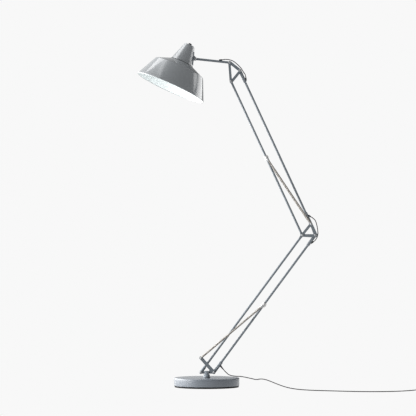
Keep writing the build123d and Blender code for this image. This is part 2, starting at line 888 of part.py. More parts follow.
def switch_knob():
    """Fluted turn knob on top of the neck, with its shaft in the lampholder's nipple."""
    with BuildPart() as knob:
        with BuildSketch(Plane.XY.offset(2 * GAP)):
            Circle(KNOB_RADIUS)
            with PolarLocations(KNOB_RADIUS + 0.8, KNOB_FLUTES):
                Circle(1.8, mode=Mode.SUBTRACT)
        extrude(amount=KNOB_HEIGHT, taper=3)
        with BuildSketch():
            Circle(NIPPLE_RADIUS + 0.4)
        extrude(amount=1.8, mode=Mode.SUBTRACT)
        with BuildSketch(Plane.XY.offset(-11)):
            Circle(SHAFT_RADIUS)
        extrude(amount=13)
    return on_shade(knob.part)


def tilt_saddle():
    """Plate curved round the neck, with two ears for the tilt bolt."""
    upper_radius = neck_radius(SADDLE_TOP)
    lower_radius = neck_radius(SADDLE_FOOT)
    ear_root = neck_radius(TILT_DEPTH)
    with BuildPart() as saddle:
        with BuildSketch(Plane.XZ):
            Polygon(
                (upper_radius + GAP, -SADDLE_TOP),
                (upper_radius + GAP + SADDLE_THICKNESS, -SADDLE_TOP),
                (lower_radius + GAP + SADDLE_THICKNESS, -SADDLE_FOOT),
                (lower_radius + GAP, -SADDLE_FOOT),
                align=None,
            )
        revolve(axis=Axis.Z, revolution_arc=SADDLE_ARC)
    turned = saddle.part.rotate(Axis.Z, -SADDLE_ARC / 2)
    with BuildPart() as ears:
        with BuildSketch(Plane.XZ.offset(PLATE_OUTER), Plane.XZ.offset(-PLATE_INNER)):
            with Locations((TILT_OFFSET, -TILT_DEPTH)):
                Circle(7.5)
            with Locations((ear_root, -TILT_DEPTH + 8), (ear_root, -TILT_DEPTH - 8)):
                Circle(4)
            make_hull()
        extrude(amount=-PLATE_OUTER + PLATE_INNER)
        with BuildSketch(Plane.XZ.offset(20)):
            with Locations((TILT_OFFSET, -TILT_DEPTH)):
                Circle(BOLT_RADIUS + RUNNING_FIT)
        extrude(amount=-40, mode=Mode.SUBTRACT)
    neck = revolved(
        [
            (0, 1),
            (neck_radius(0) + GAP, 1),
            (neck_radius(0) + GAP, 0),
            (NECK_FOOT_RADIUS + GAP, -NECK_HEIGHT),
            (0, -NECK_HEIGHT),
        ]
    )
    return on_shade(turned + (ears.part - neck))


# Plug


def mains_plug(tip, way):
    """Flat two-pin plug body."""
    sideways = way.cross(Vector(0, 0, 1)).normalized()
    with BuildPart() as body:
        with BuildSketch(Plane(tip, x_dir=sideways, z_dir=way)):
            RectangleRounded(12, 11, 4)
        with BuildSketch(Plane(tip + way * PLUG_SHOULDER, x_dir=sideways, z_dir=way)):
            RectangleRounded(PLUG_WIDTH, PLUG_HEIGHT, 5)
        loft()
        with BuildSketch(Plane(tip + way * PLUG_SHOULDER, x_dir=sideways, z_dir=way)):
            RectangleRounded(PLUG_WIDTH, PLUG_HEIGHT, 5)
        extrude(amount=PLUG_BODY)
    return body.part


def plug_pins(tip, way):
    """Two round pins."""
    sideways = way.cross(Vector(0, 0, 1)).normalized()
    face = tip + way * (PLUG_SHOULDER + PLUG_BODY + GAP)
    offsets = (-PIN_SPACING / 2, PIN_SPACING / 2)
    return group([cylinder_along(face + sideways * at, way, PIN_RADIUS, PIN_LENGTH) for at in offsets])


# Rods with their cable bushes

LOWER_UP = direction(LOWER_LEAN)
UPPER_UP = direction(UPPER_LEAN)
HEAD_OUT = direction(HEAD_TUBE_LEAN)

foot_boot, mains_start, mains_way = boot(
    BASE_RIGHT, LOWER_UP, 49, 1, 104, ROD_RADIUS + GAP, MAINS_BOOT_LENGTH
)
elbow_low_boot, elbow_end, elbow_end_way = boot(ELBOW_RIGHT, LOWER_UP * -1, 48, -1, 158, ROD_RADIUS + GAP)
elbow_high_boot, elbow_start, elbow_start_way = boot(ELBOW_TOP, UPPER_UP, 50, 1, 145, ROD_RADIUS + GAP)
head_low_boot, head_end, head_end_way = boot(HEAD_RIGHT, UPPER_UP * -1, 62, -1, 157, ROD_RADIUS + GAP)
tube_boot, head_start, head_start_way = boot(HEAD_TOP, HEAD_OUT, 58, 1, 163, HEAD_ROD_RADIUS - ROD_WALL + GAP)

# Routes, chosen by hand

elbow_route = [
    elbow_start,
    elbow_start + elbow_start_way * 12,
    Vector(586.5, 0, 893),
    Vector(594, 0, 868),
    Vector(598.5, 0, 840),
    Vector(600, 0, 812),
    elbow_end + elbow_end_way * 12,
    elbow_end,
]
head_route = [
    head_start,
    head_start + head_start_way * 16,
    Vector(124, 0, 1766),
    Vector(147, 0, 1757.5),
    Vector(168, 0, 1739),
    Vector(187, 0, 1720),
    Vector(198, 0, 1700),
    head_end + head_end_way * 14,
    head_end,
]
drop_last = Vector(121, 5, 62)
run_first = Vector(160, 15, 55.5)
DROP_END = (drop_last + run_first) * 0.5
drop_route = [mains_start, mains_start + mains_way * 10, Vector(104, 1, 78), drop_last, DROP_END]
coil_entry, coil_entry_way = coil_stations()[0]
run_route = [
    DROP_END,
    run_first,
    Vector(180, 15, 56.2),
    Vector(205, 8, 54),
    Vector(246, -10, 46),
    Vector(290, -40, 42),
    Vector(335, -86, 35),
    Vector(378, -136, 21),
    Vector(425, -190, 8),
    Vector(478, -245, 2.6),
    Vector(545, -303, 2.25),
    Vector(620, -336, 2.25),
    Vector(695, -366, 2.25),
    Vector(775, -396, 2.25),
    Vector(855, -404, 2.25),
    Vector(930, -392, 2.25),
    Vector(1000, -360, 2.25),
    Vector(1058, -308, 2.25),
    Vector(1098, -250, 2.25),
    coil_entry - coil_entry_way * 22,
    coil_entry,
]


def mains_coil():
    """The put-away length, with a straight end to the plug."""
    stations = coil_stations()
    last, last_way = stations[-1]
    level = Vector(last_way.X, last_way.Y, 0).normalized()
    entry = Edge.make_line(*[coil_entry + coil_entry_way * at for at in (0, CORD)])
    moved = [(point + coil_entry_way * CORD, way) for point, way in stations]
    plug_tip = moved[-1][0] + level * PLUG_TAIL
    exit_run = Edge.make_line(moved[-1][0], plug_tip)
    edges = arcs_through(moved[:-1] + [(moved[-1][0], level)])
    gap = least_gap(edges, CORD, 4 * CORD)
    long = sum(edge.length for edge in edges)
    print(f"put-away coil: {COIL_TURNS:.2f} turns, {long:.0f} mm, least gap {gap:.2f} mm")
    return wound_tube([entry, *edges, exit_run], CORD), plug_tip, level


coil_tube, plug_tip, plug_way = mains_coil()

save(foot_pad(), "foot_pad")
save(base_weight(), "base_weight")
save(base_cover(), "base_cover")
save(base_spindle(), "base_spindle")
save(spindle_nut(), "spindle_nut")
save(friction_washer(), "friction_washer")

save(swivel_post(), "swivel_post")
save(lever_plates(), "lever_plates")
save(post_screws(), "post_screws")
save(group(bolts(BASE_LEFT, BASE_RIGHT)), "base_pivot_bolts")
save(anchor_pin(LOWER_ANCHOR), "lower_anchor_pin")
save(spacer(LOWER_ANCHOR), "lever_spacer")

save(rod(BASE_RIGHT, LOWER_UP, NECK + GAP, ARM_LENGTH - NECK - GAP), "lower_right_rod")
lower_sockets = [
    socket_end(BASE_RIGHT, LOWER_UP) - foot_boot,
    socket_end(ELBOW_RIGHT, LOWER_UP * -1) - elbow_low_boot,
]
save(group(lower_sockets), "lower_right_sockets")
save(group([foot_boot, elbow_low_boot]), "lower_cable_bushes")
save(cylinder_along(BASE_RIGHT + LOWER_UP * 40, LOWER_UP, CORD / 2, ARM_LENGTH - 80), "lower_rod_cable")
save(collar(LOWER_COLLAR, LOWER_UP), "lower_collar")
save(group(collar_studs(LOWER_COLLAR, LOWER_UP)), "lower_collar_studs")

save(rod(BASE_LEFT, LOWER_UP, NECK + GAP, ARM_LENGTH - NECK - FORK_ROOT - GAP), "lower_left_rod")
lower_left_ends = [
    socket_end(BASE_LEFT, LOWER_UP, SHORT_SOCKET_LENGTH),
    fork_end(ELBOW_LEFT, LOWER_UP * -1),
]
save(group(lower_left_ends), "lower_left_ends")

elbow_corners = [ELBOW_LEFT, ELBOW_RIGHT, ELBOW_TOP]
elbow_radii = [PLATE_CORNER, ELBOW_HEEL, PLATE_CORNER]
save(triangle_plates(elbow_corners, elbow_radii, ELBOW_BAR_INSIDE), "elbow_plates")
save(group(bolts(ELBOW_LEFT, ELBOW_RIGHT)), "elbow_pivot_bolts")
save(group(domed_bolt(ELBOW_TOP, ANCHOR_END, ANCHOR_RADIUS)), "upper_anchor_bolt")
save(cord_tube(elbow_route, "elbow_lead"), "elbow_lead")

save(rod(ELBOW_TOP, UPPER_UP, NECK + GAP, ARM_LENGTH - NECK - GAP), "upper_right_rod")
upper_sockets = [
    socket_end(ELBOW_TOP, UPPER_UP) - elbow_high_boot,
    socket_end(HEAD_RIGHT, UPPER_UP * -1) - head_low_boot,
]
save(group(upper_sockets), "upper_right_sockets")
save(group([elbow_high_boot, head_low_boot]), "upper_cable_bushes")
save(cylinder_along(ELBOW_TOP + UPPER_UP * 40, UPPER_UP, CORD / 2, ARM_LENGTH - 80), "upper_rod_cable")

save(rod(ELBOW_LEFT, UPPER_UP, NECK + GAP, ARM_LENGTH - NECK - GAP), "upper_left_rod")
upper_left_ends = [
    tab_end(ELBOW_LEFT, UPPER_UP),
    slim_end(HEAD_LEFT, UPPER_UP * -1, BOLT_RADIUS + OPEN_PIVOT_FIT),
]
save(group(upper_left_ends), "upper_left_ends")
save(collar(UPPER_COLLAR, UPPER_UP), "upper_collar")
save(group(collar_studs(UPPER_COLLAR, UPPER_UP)), "upper_collar_studs")

head_corners = [HEAD_LEFT, HEAD_RIGHT, HEAD_TOP]
save(triangle_plates(head_corners, [PLATE_CORNER] * 3, HEAD_BAR_INSIDE), "head_plates")
save(group(bolts(HEAD_LEFT, HEAD_RIGHT, HEAD_TOP)), "head_pivot_bolts")

head_tube = rod(HEAD_TOP, HEAD_OUT, NECK + GAP, HEAD_TUBE_LENGTH - NECK - GAP, HEAD_ROD_RADIUS)
save(head_tube - tube_boot, "head_tube")
head_ends = [
    slim_end(HEAD_TOP, HEAD_OUT, BOLT_RADIUS + RUNNING_FIT, HEAD_ROD_RADIUS),
    slim_end(TILT, HEAD_OUT * -1, BOLT_RADIUS + RUNNING_FIT, HEAD_ROD_RADIUS, 7.0),
]
save(group(head_ends), "head_tube_ends")
save(tube_boot, "head_cable_bush")
save(cylinder_along(HEAD_TOP + HEAD_OUT * 66, HEAD_OUT, CORD / 2, 76), "head_tube_cable")
save(cord_tube(head_route, "head_lead"), "head_lead")

save(tilt_saddle(), "tilt_saddle")
save(group(domed_bolt(TILT)), "tilt_bolt")
save(shade_neck(), "shade_neck")
save(shade_bell(), "shade_bell")
save(lampholder(), "lampholder")
save(lamp_cap(), "lamp_cap")
save(lamp_glass(), "lamp_glass")
save(switch_knob(), "switch_knob")

for arm, anchor, stud in (("lower", LOWER_ANCHOR, LOWER_COLLAR), ("upper", ELBOW_TOP, UPPER_COLLAR)):
    for side, y in (("front", -SPRING_Y), ("rear", SPRING_Y)):
        name = f"{arm}_spring_{side}"
        save(spring(anchor, stud, y, name), name)
save(spring_caps(LOWER_ANCHOR, LOWER_COLLAR), "lower_spring_caps")
save(spring_caps(ELBOW_TOP, UPPER_COLLAR), "upper_spring_caps")

save(cord_tube(drop_route, "mains_cord_drop"), "mains_cord_drop")
save(cord_tube(run_route, "mains_cord_run"), "mains_cord_run")
save(coil_tube, "mains_cord_coil")
save(mains_plug(plug_tip, plug_way), "mains_plug")
save(plug_pins(plug_tip, plug_way), "plug_pins")
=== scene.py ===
"""Looks of the floor lamp with two sprung parallelogram arms. Metres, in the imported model's frame.

X is right, Y is away from the camera, Z is up. The arms lie in the plane Y = 0.
"""
import json
import math

import bpy
import numpy as np
from mathutils import Matrix, Vector


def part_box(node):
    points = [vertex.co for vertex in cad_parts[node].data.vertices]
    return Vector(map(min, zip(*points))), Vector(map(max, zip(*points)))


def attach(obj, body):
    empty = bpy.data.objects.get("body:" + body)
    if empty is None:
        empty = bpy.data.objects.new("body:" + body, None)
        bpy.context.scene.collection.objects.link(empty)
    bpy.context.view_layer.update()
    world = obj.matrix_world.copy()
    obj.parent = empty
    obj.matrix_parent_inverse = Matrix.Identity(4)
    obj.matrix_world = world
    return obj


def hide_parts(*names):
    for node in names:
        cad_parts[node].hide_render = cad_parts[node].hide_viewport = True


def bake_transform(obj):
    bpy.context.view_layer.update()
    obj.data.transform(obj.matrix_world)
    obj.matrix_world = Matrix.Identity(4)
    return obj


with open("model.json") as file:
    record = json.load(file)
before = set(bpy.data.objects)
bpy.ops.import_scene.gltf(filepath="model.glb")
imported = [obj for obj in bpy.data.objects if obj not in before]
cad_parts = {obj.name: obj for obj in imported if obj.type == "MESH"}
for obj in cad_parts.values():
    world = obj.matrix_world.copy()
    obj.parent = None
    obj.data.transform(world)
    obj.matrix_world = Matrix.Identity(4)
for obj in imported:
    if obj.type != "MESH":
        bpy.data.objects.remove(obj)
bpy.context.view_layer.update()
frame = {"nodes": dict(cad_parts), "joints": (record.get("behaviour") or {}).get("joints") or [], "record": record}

MM = 0.001
scene = bpy.context.scene
nodes = frame["nodes"]

# Places that the frame gives

pivots = {joint["name"]: Vector(joint["pos_m"]) for joint in frame["joints"] if "pos_m" in joint}
axes = {joint["name"]: Vector(joint["axis"]).normalized() for joint in frame["joints"]}
BASE_RIGHT = pivots["lower_arm"]
ELBOW_RIGHT = pivots["elbow_level"]
ELBOW_TOP = pivots["upper_arm"]
HEAD_RIGHT = pivots["head_level"]
HEAD_TOP = pivots["head_arm"]
TILT = pivots["shade_tilt"]
SHADE_TOP = pivots["switch_turn"]
LOWER_ANCHOR = pivots["lower_spring_swing"]
LOWER_UP = (ELBOW_RIGHT - BASE_RIGHT).normalized()
UPPER_UP = (HEAD_RIGHT - ELBOW_TOP).normalized()
HEAD_OUT = (TILT - HEAD_TOP).normalized()
SHADE_UP = axes["switch_turn"]


def centre(node):
    """Middle of a CAD node's box."""
    low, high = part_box(node)
    return (Vector(low) + Vector(high)) / 2


def quarter_right(way):
    """The same direction a quarter turn clockwise, seen from the front."""
    return Vector((way.z, 0, -way.x))


LOWER_COLLAR = centre("lower_collar")
UPPER_COLLAR = centre("upper_collar")
SHADE_PLACE = Matrix.Translation(SHADE_TOP) @ Matrix(
    (quarter_right(SHADE_UP), (0, 1, 0), SHADE_UP)
).transposed().to_4x4()

# Camera: a long lens, far away and low

PHOTO_SIZE = 416
FOCAL_PIXELS = 1485.6
HORIZON_ROW = 290.7
AXIS_COLUMN = 206.7
CAMERA_DISTANCE = 8.0
CAMERA_HEIGHT = 0.515
SENSOR = 36.0

camera_data = bpy.data.cameras.new("camera")
camera_data.sensor_width = SENSOR
camera_data.lens = FOCAL_PIXELS * SENSOR / PHOTO_SIZE
camera_data.clip_end = 60
camera = bpy.data.objects.new("camera", camera_data)
scene.collection.objects.link(camera)
scene.camera = camera
pitch = math.atan((HORIZON_ROW - PHOTO_SIZE / 2) / FOCAL_PIXELS)
sideways = (PHOTO_SIZE / 2 - AXIS_COLUMN) * CAMERA_DISTANCE / FOCAL_PIXELS
camera.location = (sideways, -CAMERA_DISTANCE, CAMERA_HEIGHT)
camera.rotation_euler = (math.pi / 2 + pitch, 0, 0)

# Materials

METAL_MOTTLE = 0.86
# The range that most of a noise pattern's values are in
NOISE_LOW = 0.3
NOISE_HIGH = 0.7


class Finish:
    """A material under construction."""

    def __init__(self, name, colour, roughness, metallic=0.0, **sockets):
        self.material = bpy.data.materials.new(name)
        self.material.use_nodes = True
        self.tree = self.material.node_tree
        self.shader = self.tree.nodes["Principled BSDF"]
        self.shader.inputs["Base Color"].default_value = (*colour, 1)
        self.shader.inputs["Roughness"].default_value = roughness
        self.shader.inputs["Metallic"].default_value = metallic
        for socket, value in sockets.items():
            self.shader.inputs[socket.replace("_", " ")].default_value = value
        self.place = self.tree.nodes.new("ShaderNodeTexCoord").outputs["Object"]

    def noise(self, scale, detail, stretch=None):
        """A noise pattern's value, in the object's own space."""
        pattern = self.tree.nodes.new("ShaderNodeTexNoise")
        pattern.inputs["Scale"].default_value = scale
        pattern.inputs["Detail"].default_value = detail
        source = self.place
        if stretch:
            mapping = self.tree.nodes.new("ShaderNodeMapping")
            mapping.inputs["Scale"].default_value = stretch
            self.tree.links.new(source, mapping.inputs["Vector"])
            source = mapping.outputs["Vector"]
        self.tree.links.new(source, pattern.inputs["Vector"])
        return pattern.outputs["Fac"]

    def spread(self, noise, low, high):
        """A value that runs from low to high with a noise pattern."""
        scaled = self.tree.nodes.new("ShaderNodeMapRange")
        scaled.inputs["From Min"].default_value = NOISE_LOW
        scaled.inputs["From Max"].default_value = NOISE_HIGH
        scaled.inputs["To Min"].default_value = low
        scaled.inputs["To Max"].default_value = high
        self.tree.links.new(noise, scaled.inputs["Value"])
        return scaled.outputs["Result"]

    def colours(self, noise, first, second):
        """Base colour that runs from first to second with a noise pattern."""
        ramp = self.tree.nodes.new("ShaderNodeValToRGB")
        ramp.color_ramp.elements[0].position = NOISE_LOW
        ramp.color_ramp.elements[0].color = (*first, 1)
        ramp.color_ramp.elements[1].position = NOISE_HIGH
        ramp.color_ramp.elements[1].color = (*second, 1)
        self.tree.links.new(noise, ramp.inputs["Fac"])
        self.tree.links.new(ramp.outputs["Color"], self.shader.inputs["Base Color"])

    def roughness(self, value):
        """Drive the roughness by a value."""
        self.tree.links.new(value, self.shader.inputs["Roughness"])

    def bump(self, noise, distance, strength):
        """Bump whose height is a noise pattern times a distance in metres."""
        bump = self.tree.nodes.new("ShaderNodeBump")
        bump.inputs["Strength"].default_value = strength
        bump.inputs["Distance"].default_value = distance
        self.tree.links.new(noise, bump.inputs["Height"])
        self.tree.links.new(bump.outputs["Normal"], self.shader.inputs["Normal"])


def paint(name, dark, light, rough, coat):
    """Sprayed paint: faint mottle, uneven gloss and a trace of orange peel."""
    made = Finish(name, light, rough, Coat_Weight=coat, Coat_Roughness=0.08)
    made.colours(made.noise(scale=9, detail=4), dark, light)
    made.roughness(made.spread(made.noise(scale=35, detail=4), rough - 0.03, rough + 0.04))
    made.bump(made.noise(scale=700, detail=2), distance=0.00003, strength=0.02)
    return made.material


def turned_metal(name, colour, rough, grain, metallic=1.0):
    """Bare metal with fine turning lines."""
    made = Finish(name, colour, rough, metallic)
    dimmed = tuple(channel * METAL_MOTTLE for channel in colour)
    made.colours(made.noise(scale=60, detail=4), dimmed, colour)
    made.roughness(made.spread(made.noise(scale=250, detail=3), rough - 0.06, rough + 0.1))
    made.bump(made.noise(grain, detail=2, stretch=(1, 8, 1)), distance=0.00004, strength=0.3)
    return made.material


def rubber(name, dark, light, rough, gloss=0.15):
    """Rubber or plastic with a fine grain."""
    made = Finish(name, dark, rough, Specular_IOR_Level=gloss)
    made.colours(made.noise(scale=40, detail=4), dark, light)
    made.roughness(made.spread(made.noise(scale=120, detail=3), rough - 0.08, rough + 0.08))
    made.bump(made.noise(scale=1800, detail=2), distance=0.00005, strength=0.4)
    return made.material


def lamp_glass():
    """Opal glass of the lamp."""
    made = Finish("opal_glass", (0.93, 0.93, 0.9), 0.25, Transmission_Weight=0.25, Subsurface_Weight=0.3)
    made.colours(made.noise(scale=30, detail=2), (0.9, 0.9, 0.87), (0.95, 0.95, 0.93))
    made.shader.inputs["Subsurface Radius"].default_value = (0.01, 0.01, 0.01)
    return made.material


COVER_PAINT = paint("grey_paint", (0.135, 0.152, 0.174), (0.148, 0.166, 0.191), rough=0.36, coat=0.5)
ARM_PAINT = paint("arm_paint", (0.137, 0.158, 0.178), (0.15, 0.173, 0.195), rough=0.5, coat=0.0)
# The swivel post's paint is the arm paint made lighter: painted light on the post.
POST_PAINT_PAINTED_LIGHT = paint("post_paint_painted_light", (0.22, 0.25, 0.28), (0.24, 0.27, 0.3), rough=0.5, coat=0.1)
SHADE_PAINT = paint("shade_paint", (0.232, 0.246, 0.257), (0.248, 0.262, 0.274), rough=0.2, coat=0.9)
WHITE_PAINT = paint("white_paint", (0.67, 0.71, 0.71), (0.7, 0.745, 0.75), rough=0.6, coat=0.0)
STEEL = turned_metal("dull_steel", (0.46, 0.47, 0.48), rough=0.36, grain=900)
CHROME = turned_metal("polished_chrome", (0.85, 0.85, 0.86), rough=0.1, grain=1200)
SPRING_WIRE = turned_metal("spring_wire", (0.34, 0.318, 0.293), rough=0.5, grain=1500, metallic=0.3)
IRON = turned_metal("cast_iron", (0.12, 0.12, 0.125), rough=0.6, grain=300)
COLLAR_ALLOY = turned_metal("collar_alloy", (0.56, 0.555, 0.55), rough=0.45, grain=900, metallic=0.5)
BRASS = turned_metal("lamp_brass", (0.72, 0.62, 0.4), rough=0.3, grain=900)
BLACK_RUBBER = rubber("black_rubber", (0.003, 0.003, 0.0035), (0.007, 0.007, 0.0075), rough=0.7)
BLACK_PLASTIC = rubber("black_plastic", (0.014, 0.014, 0.015), (0.02, 0.02, 0.021), rough=0.42)
CORD_SHEATH = rubber("cord_sheath", (0.006, 0.006, 0.0065), (0.01, 0.01, 0.0105), rough=0.6, gloss=0.06)
WHITE_PLASTIC = rubber("white_plastic", (0.7, 0.7, 0.69), (0.78, 0.78, 0.77), rough=0.4)
GREY_NYLON = rubber("grey_nylon", (0.1, 0.11, 0.12), (0.12, 0.13, 0.14), rough=0.5)
GLASS = lamp_glass()

BY_SLOT = {
    "grey_paint": ARM_PAINT,
    "spun_aluminium": SHADE_PAINT,
    "steel": STEEL,
    "chrome": CHROME,
    "spring_steel": SPRING_WIRE,
    "iron": IRON,
    "black_rubber": BLACK_RUBBER,
    "cord_grey": CORD_SHEATH,
    "black_plastic": BLACK_PLASTIC,
    "white_plastic": WHITE_PLASTIC,
    "frosted_glass": GLASS,
    "lamp_brass": BRASS,
}
# CAD nodes whose look differs from the rest of their slot. The swivel post takes a lighter copy of the arm paint:
# painted light, for light that the post lacks in this scene.
BY_NODE = {
    "base_cover": COVER_PAINT,
    "swivel_post": POST_PAINT_PAINTED_LIGHT,
    "friction_washer": GREY_NYLON,
    "lower_collar": COLLAR_ALLOY,
    "upper_collar": COLLAR_ALLOY,
}

for subpart in frame["record"]["subparts"]:
    materials = nodes[subpart["node"]].data.materials
    materials.clear()
    materials.append(BY_NODE.get(subpart["node"], BY_SLOT[subpart["material_slot"]]))

# Mesh helpers

NEARLY_PARALLEL = 0.2
PINHOLE = 0.05 * MM
EDGE = 0.2 * MM
SMALL_SIDES = 32
SLEEVE_STEPS = 48
SLEEVE_EDGE = 0.5 * MM
RIB_DEPTH = 0.7 * MM
RIBS_FROM = 0.25
RIBS_OVER = 0.65


def piece(name, vertices, faces, materials, slots=None):
    """A smooth mesh object from its vertices and faces. slots gives each face's material."""
    mesh = bpy.data.meshes.new(name)
    mesh.from_pydata([tuple(v) for v in vertices], [], faces)
    for material in materials:
        mesh.materials.append(material)
    mesh.polygons.foreach_set("use_smooth", [True] * len(mesh.polygons))
    if slots is not None:
        mesh.polygons.foreach_set("material_index", slots)
    mesh.update()
    made = bpy.data.objects.new(name, mesh)
    scene.collection.objects.link(made)
    return made


def stands_for(made, body, slot, *replaced):
    """Put a piece on a body, and hide the CAD nodes that it replaces. Its slot is not used."""
    if replaced:
        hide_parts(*replaced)
    if body:
        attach(made, body)
    return made


def rounded(corners, steps=6):
    """An outline of (x, y, radius) corners, with its corners rounded by arcs of the given radius."""
    outline = []
    for index, (x, y, radius) in enumerate(corners):
        here = Vector((x, y))
        if not radius:
            outline.append(here)
            continue
        before = Vector(corners[index - 1][:2]) - here
        after = Vector(corners[(index + 1) % len(corners)][:2]) - here
        half = before.angle(after) / 2
        before.normalize()
        after.normalize()
        middle = here + (before + after).normalized() * radius / math.sin(half)
        first = here + before * radius / math.tan(half) - middle
        last = here + after * radius / math.tan(half) - middle
        turn = first.angle_signed(last)
        for step in range(steps + 1):
            share = Matrix.Rotation(-turn * step / steps, 2)
            outline.append(middle + share @ first)
    return outline


def lathe(name, outline, material, place=Matrix.Identity(4), sides=128, inner=None, inner_from=0):
    """A body of revolution about Z from a closed outline of (radius, height). Its faces from the outline's
    point inner_from on take the inner material."""
    count = len(outline)
    vertices = []
    for side in range(sides):
        turned = math.tau * side / sides
        for point in outline:
            local = Vector((point.x * math.cos(turned), point.x * math.sin(turned), point.y))
            vertices.append(place @ local)
    faces = []
    slots = []
    for side in range(sides):
        here = side * count
        following = (side + 1) % sides * count
        for step in range(count):
            after = (step + 1) % count
            faces.append((here + step, here + after, following + after, following + step))
            slots.append(1 if inner and step >= inner_from else 0)
    materials = [material, inner] if inner else [material]
    return piece(name, vertices, faces, materials, slots)


def sharpen(made, angle=40):
    """Keep edges sharper than an angle crisp, and the rest smooth."""
    mesh = made.data
    limit = math.radians(angle)
    edge_faces = {}
    for polygon in mesh.polygons:
        for key in polygon.edge_keys:
            edge_faces.setdefault(key, []).append(polygon.normal.copy())
    sharp = []
    for edge in mesh.edges:
        normals = edge_faces.get(edge.key, [])
        sharp.append(len(normals) == 2 and normals[0].angle(normals[1], 0) > limit)
    attribute = mesh.attributes.get("sharp_edge") or mesh.attributes.new("sharp_edge", "BOOLEAN", "EDGE")
    attribute.data.foreach_set("value", sharp)
    return made


def tube(name, points, radius, sides, material):
    """A round tube along points, closed at both ends."""
    line = np.array([tuple(p) for p in points], float)
    ways = np.gradient(line, axis=0)
    ways /= np.linalg.norm(ways, axis=1)[:, None]
    normal = np.cross(ways[0], (0.0, 1.0, 0.0))
    if np.linalg.norm(normal) < NEARLY_PARALLEL:
        normal = np.cross(ways[0], (1.0, 0.0, 0.0))
    angles = np.arange(sides) * math.tau / sides
    vertices = []
    for point, way in zip(line, ways):
        normal = normal - way * normal.dot(way)
        normal /= np.linalg.norm(normal)
        other = np.cross(way, normal)
        ring = point + radius * (np.outer(np.cos(angles), normal) + np.outer(np.sin(angles), other))
        vertices.extend(ring)
    faces = []
    for ring in range(len(line) - 1):
        for side in range(sides):
            after = (side + 1) % sides
            here, above = ring * sides, (ring + 1) * sides
            faces.append((here + side, here + after, above + after, above + side))
    faces.append(tuple(range(sides))[::-1])
    faces.append(tuple((len(line) - 1) * sides + side for side in range(sides)))
    return piece(name, vertices, faces, [material])


def standing(place, way):
    """Matrix that turns Z along a direction and moves it to a place."""
    return Matrix.Translation(place) @ way.to_track_quat("Z", "Y").to_matrix().to_4x4()


def sleeve_outline(length, wide, narrow, core, ribs):
    """Outline of a tapered rubber sleeve round a cable, with a plain collar at its root and ribs along it."""
    outline = [Vector((core, 0)), Vector((wide - SLEEVE_EDGE, 0))]
    for step in range(SLEEVE_STEPS + 1):
        share = step / SLEEVE_STEPS
        ribbed = min(max((share - RIBS_FROM) / RIBS_OVER, 0), 1)
        groove = RIB_DEPTH * (1 - math.cos(math.tau * ribs * ribbed)) / 2
        radius = wide + (narrow - wide) * share - groove
        outline.append(Vector((radius, SLEEVE_EDGE + (length - 2 * SLEEVE_EDGE) * share)))
    return outline + [Vector((narrow - SLEEVE_EDGE, length)), Vector((core, length))]


def spline_points(name, points, resolution):
    """Points along the NURBS curve that a cord follows."""
    curve = bpy.data.curves.new(name, "CURVE")
    curve.dimensions = "3D"
    curve.resolution_u = resolution
    spline = curve.splines.new("NURBS")
    spline.points.add(len(points) - 1)
    for target, point in zip(spline.points, points):
        target.co = (*point, 1)
    spline.order_u = 3
    spline.use_endpoint_u = True
    holder = bpy.data.objects.new(name, curve)
    mesh = bpy.data.meshes.new_from_object(holder)
    line = [v.co.copy() for v in mesh.vertices]
    bpy.data.objects.remove(holder)
    bpy.data.curves.remove(curve)
    bpy.data.meshes.remove(mesh)
    return line


# Cords

CORD = 4.5 * MM
CORD_SIDES = 14
LONG_CORD_STEPS = 10
LEAD_STEPS = 16
GAP = 0.1 * MM
ROD_RADIUS = 6 * MM
HEAD_TUBE_BORE = 5.25 * MM
BUSH_LENGTH = 16 * MM
MAINS_BUSH_LENGTH = 24 * MM
BUSH_ROOT = 1 * MM


def bush_tip(pivot, way, distance, side, turn, core, length=BUSH_LENGTH):
    """Where a cable leaves its bush, and its direction there, as part.py has them. side and turn, in degrees,
    say which way the bush leans off the rod, and core is the radius that it is cut back to inside."""
    across = quarter_right(way) * side
    turned = math.radians(turn)
    out = way * math.cos(turned) + across * math.sin(turned)
    root = pivot + way * distance * MM + across * (core + BUSH_ROOT)
    return root + out * length, out


mains_start, mains_way = bush_tip(BASE_RIGHT, LOWER_UP, 49, 1, 104, ROD_RADIUS + GAP, MAINS_BUSH_LENGTH)
elbow_end, elbow_end_way = bush_tip(ELBOW_RIGHT, -LOWER_UP, 48, -1, 158, ROD_RADIUS + GAP)
elbow_start, elbow_start_way = bush_tip(ELBOW_TOP, UPPER_UP, 50, 1, 145, ROD_RADIUS + GAP)
head_end, head_end_way = bush_tip(HEAD_RIGHT, -UPPER_UP, 62, -1, 157, ROD_RADIUS + GAP)
head_start, head_start_way = bush_tip(HEAD_TOP, HEAD_OUT, 58, 1, 163, HEAD_TUBE_BORE + GAP)


def at(x, y, z):
    """A point given in millimetres."""
    return Vector((x, y, z)) * MM


elbow_route = [
    elbow_start,
    elbow_start + elbow_start_way * 12 * MM,
    at(586.5, 0, 893),
    at(594, 0, 868),
    at(598.5, 0, 840),
    at(600, 0, 812),
    elbow_end + elbow_end_way * 12 * MM,
    elbow_end,
]
head_route = [
    head_start,
    head_start + head_start_way * 16 * MM,
    at(124, 0, 1766),
    at(147, 0, 1757.5),
    at(168, 0, 1739),
    at(187, 0, 1720),
    at(198, 0, 1700),
    head_end + head_end_way * 14 * MM,
    head_end,
]
drop_last = at(121, 5, 62)
run_first = at(160, 15, 55.5)
drop_end = (drop_last + run_first) / 2
drop_route = [mains_start, mains_start + mains_way * 10 * MM, at(104, 1, 78), drop_last, drop_end]

# The put-away coil, beside the plug

COIL_CENTRE = at(1160, -216, 0)
COIL_START_ANGLE = 150.0
COIL_OUTER = 30.6 * MM
COIL_STEP = 5.8 * MM
COIL_CLIMB = 5.3 * MM
COIL_TURNS_IN = 2.0
COIL_TURNS_UP = 0.5
COIL_TURNS = 5.5
POINTS_PER_TURN = 16
SMALL_TURN = 0.002
PLUG_TAIL = 28 * MM


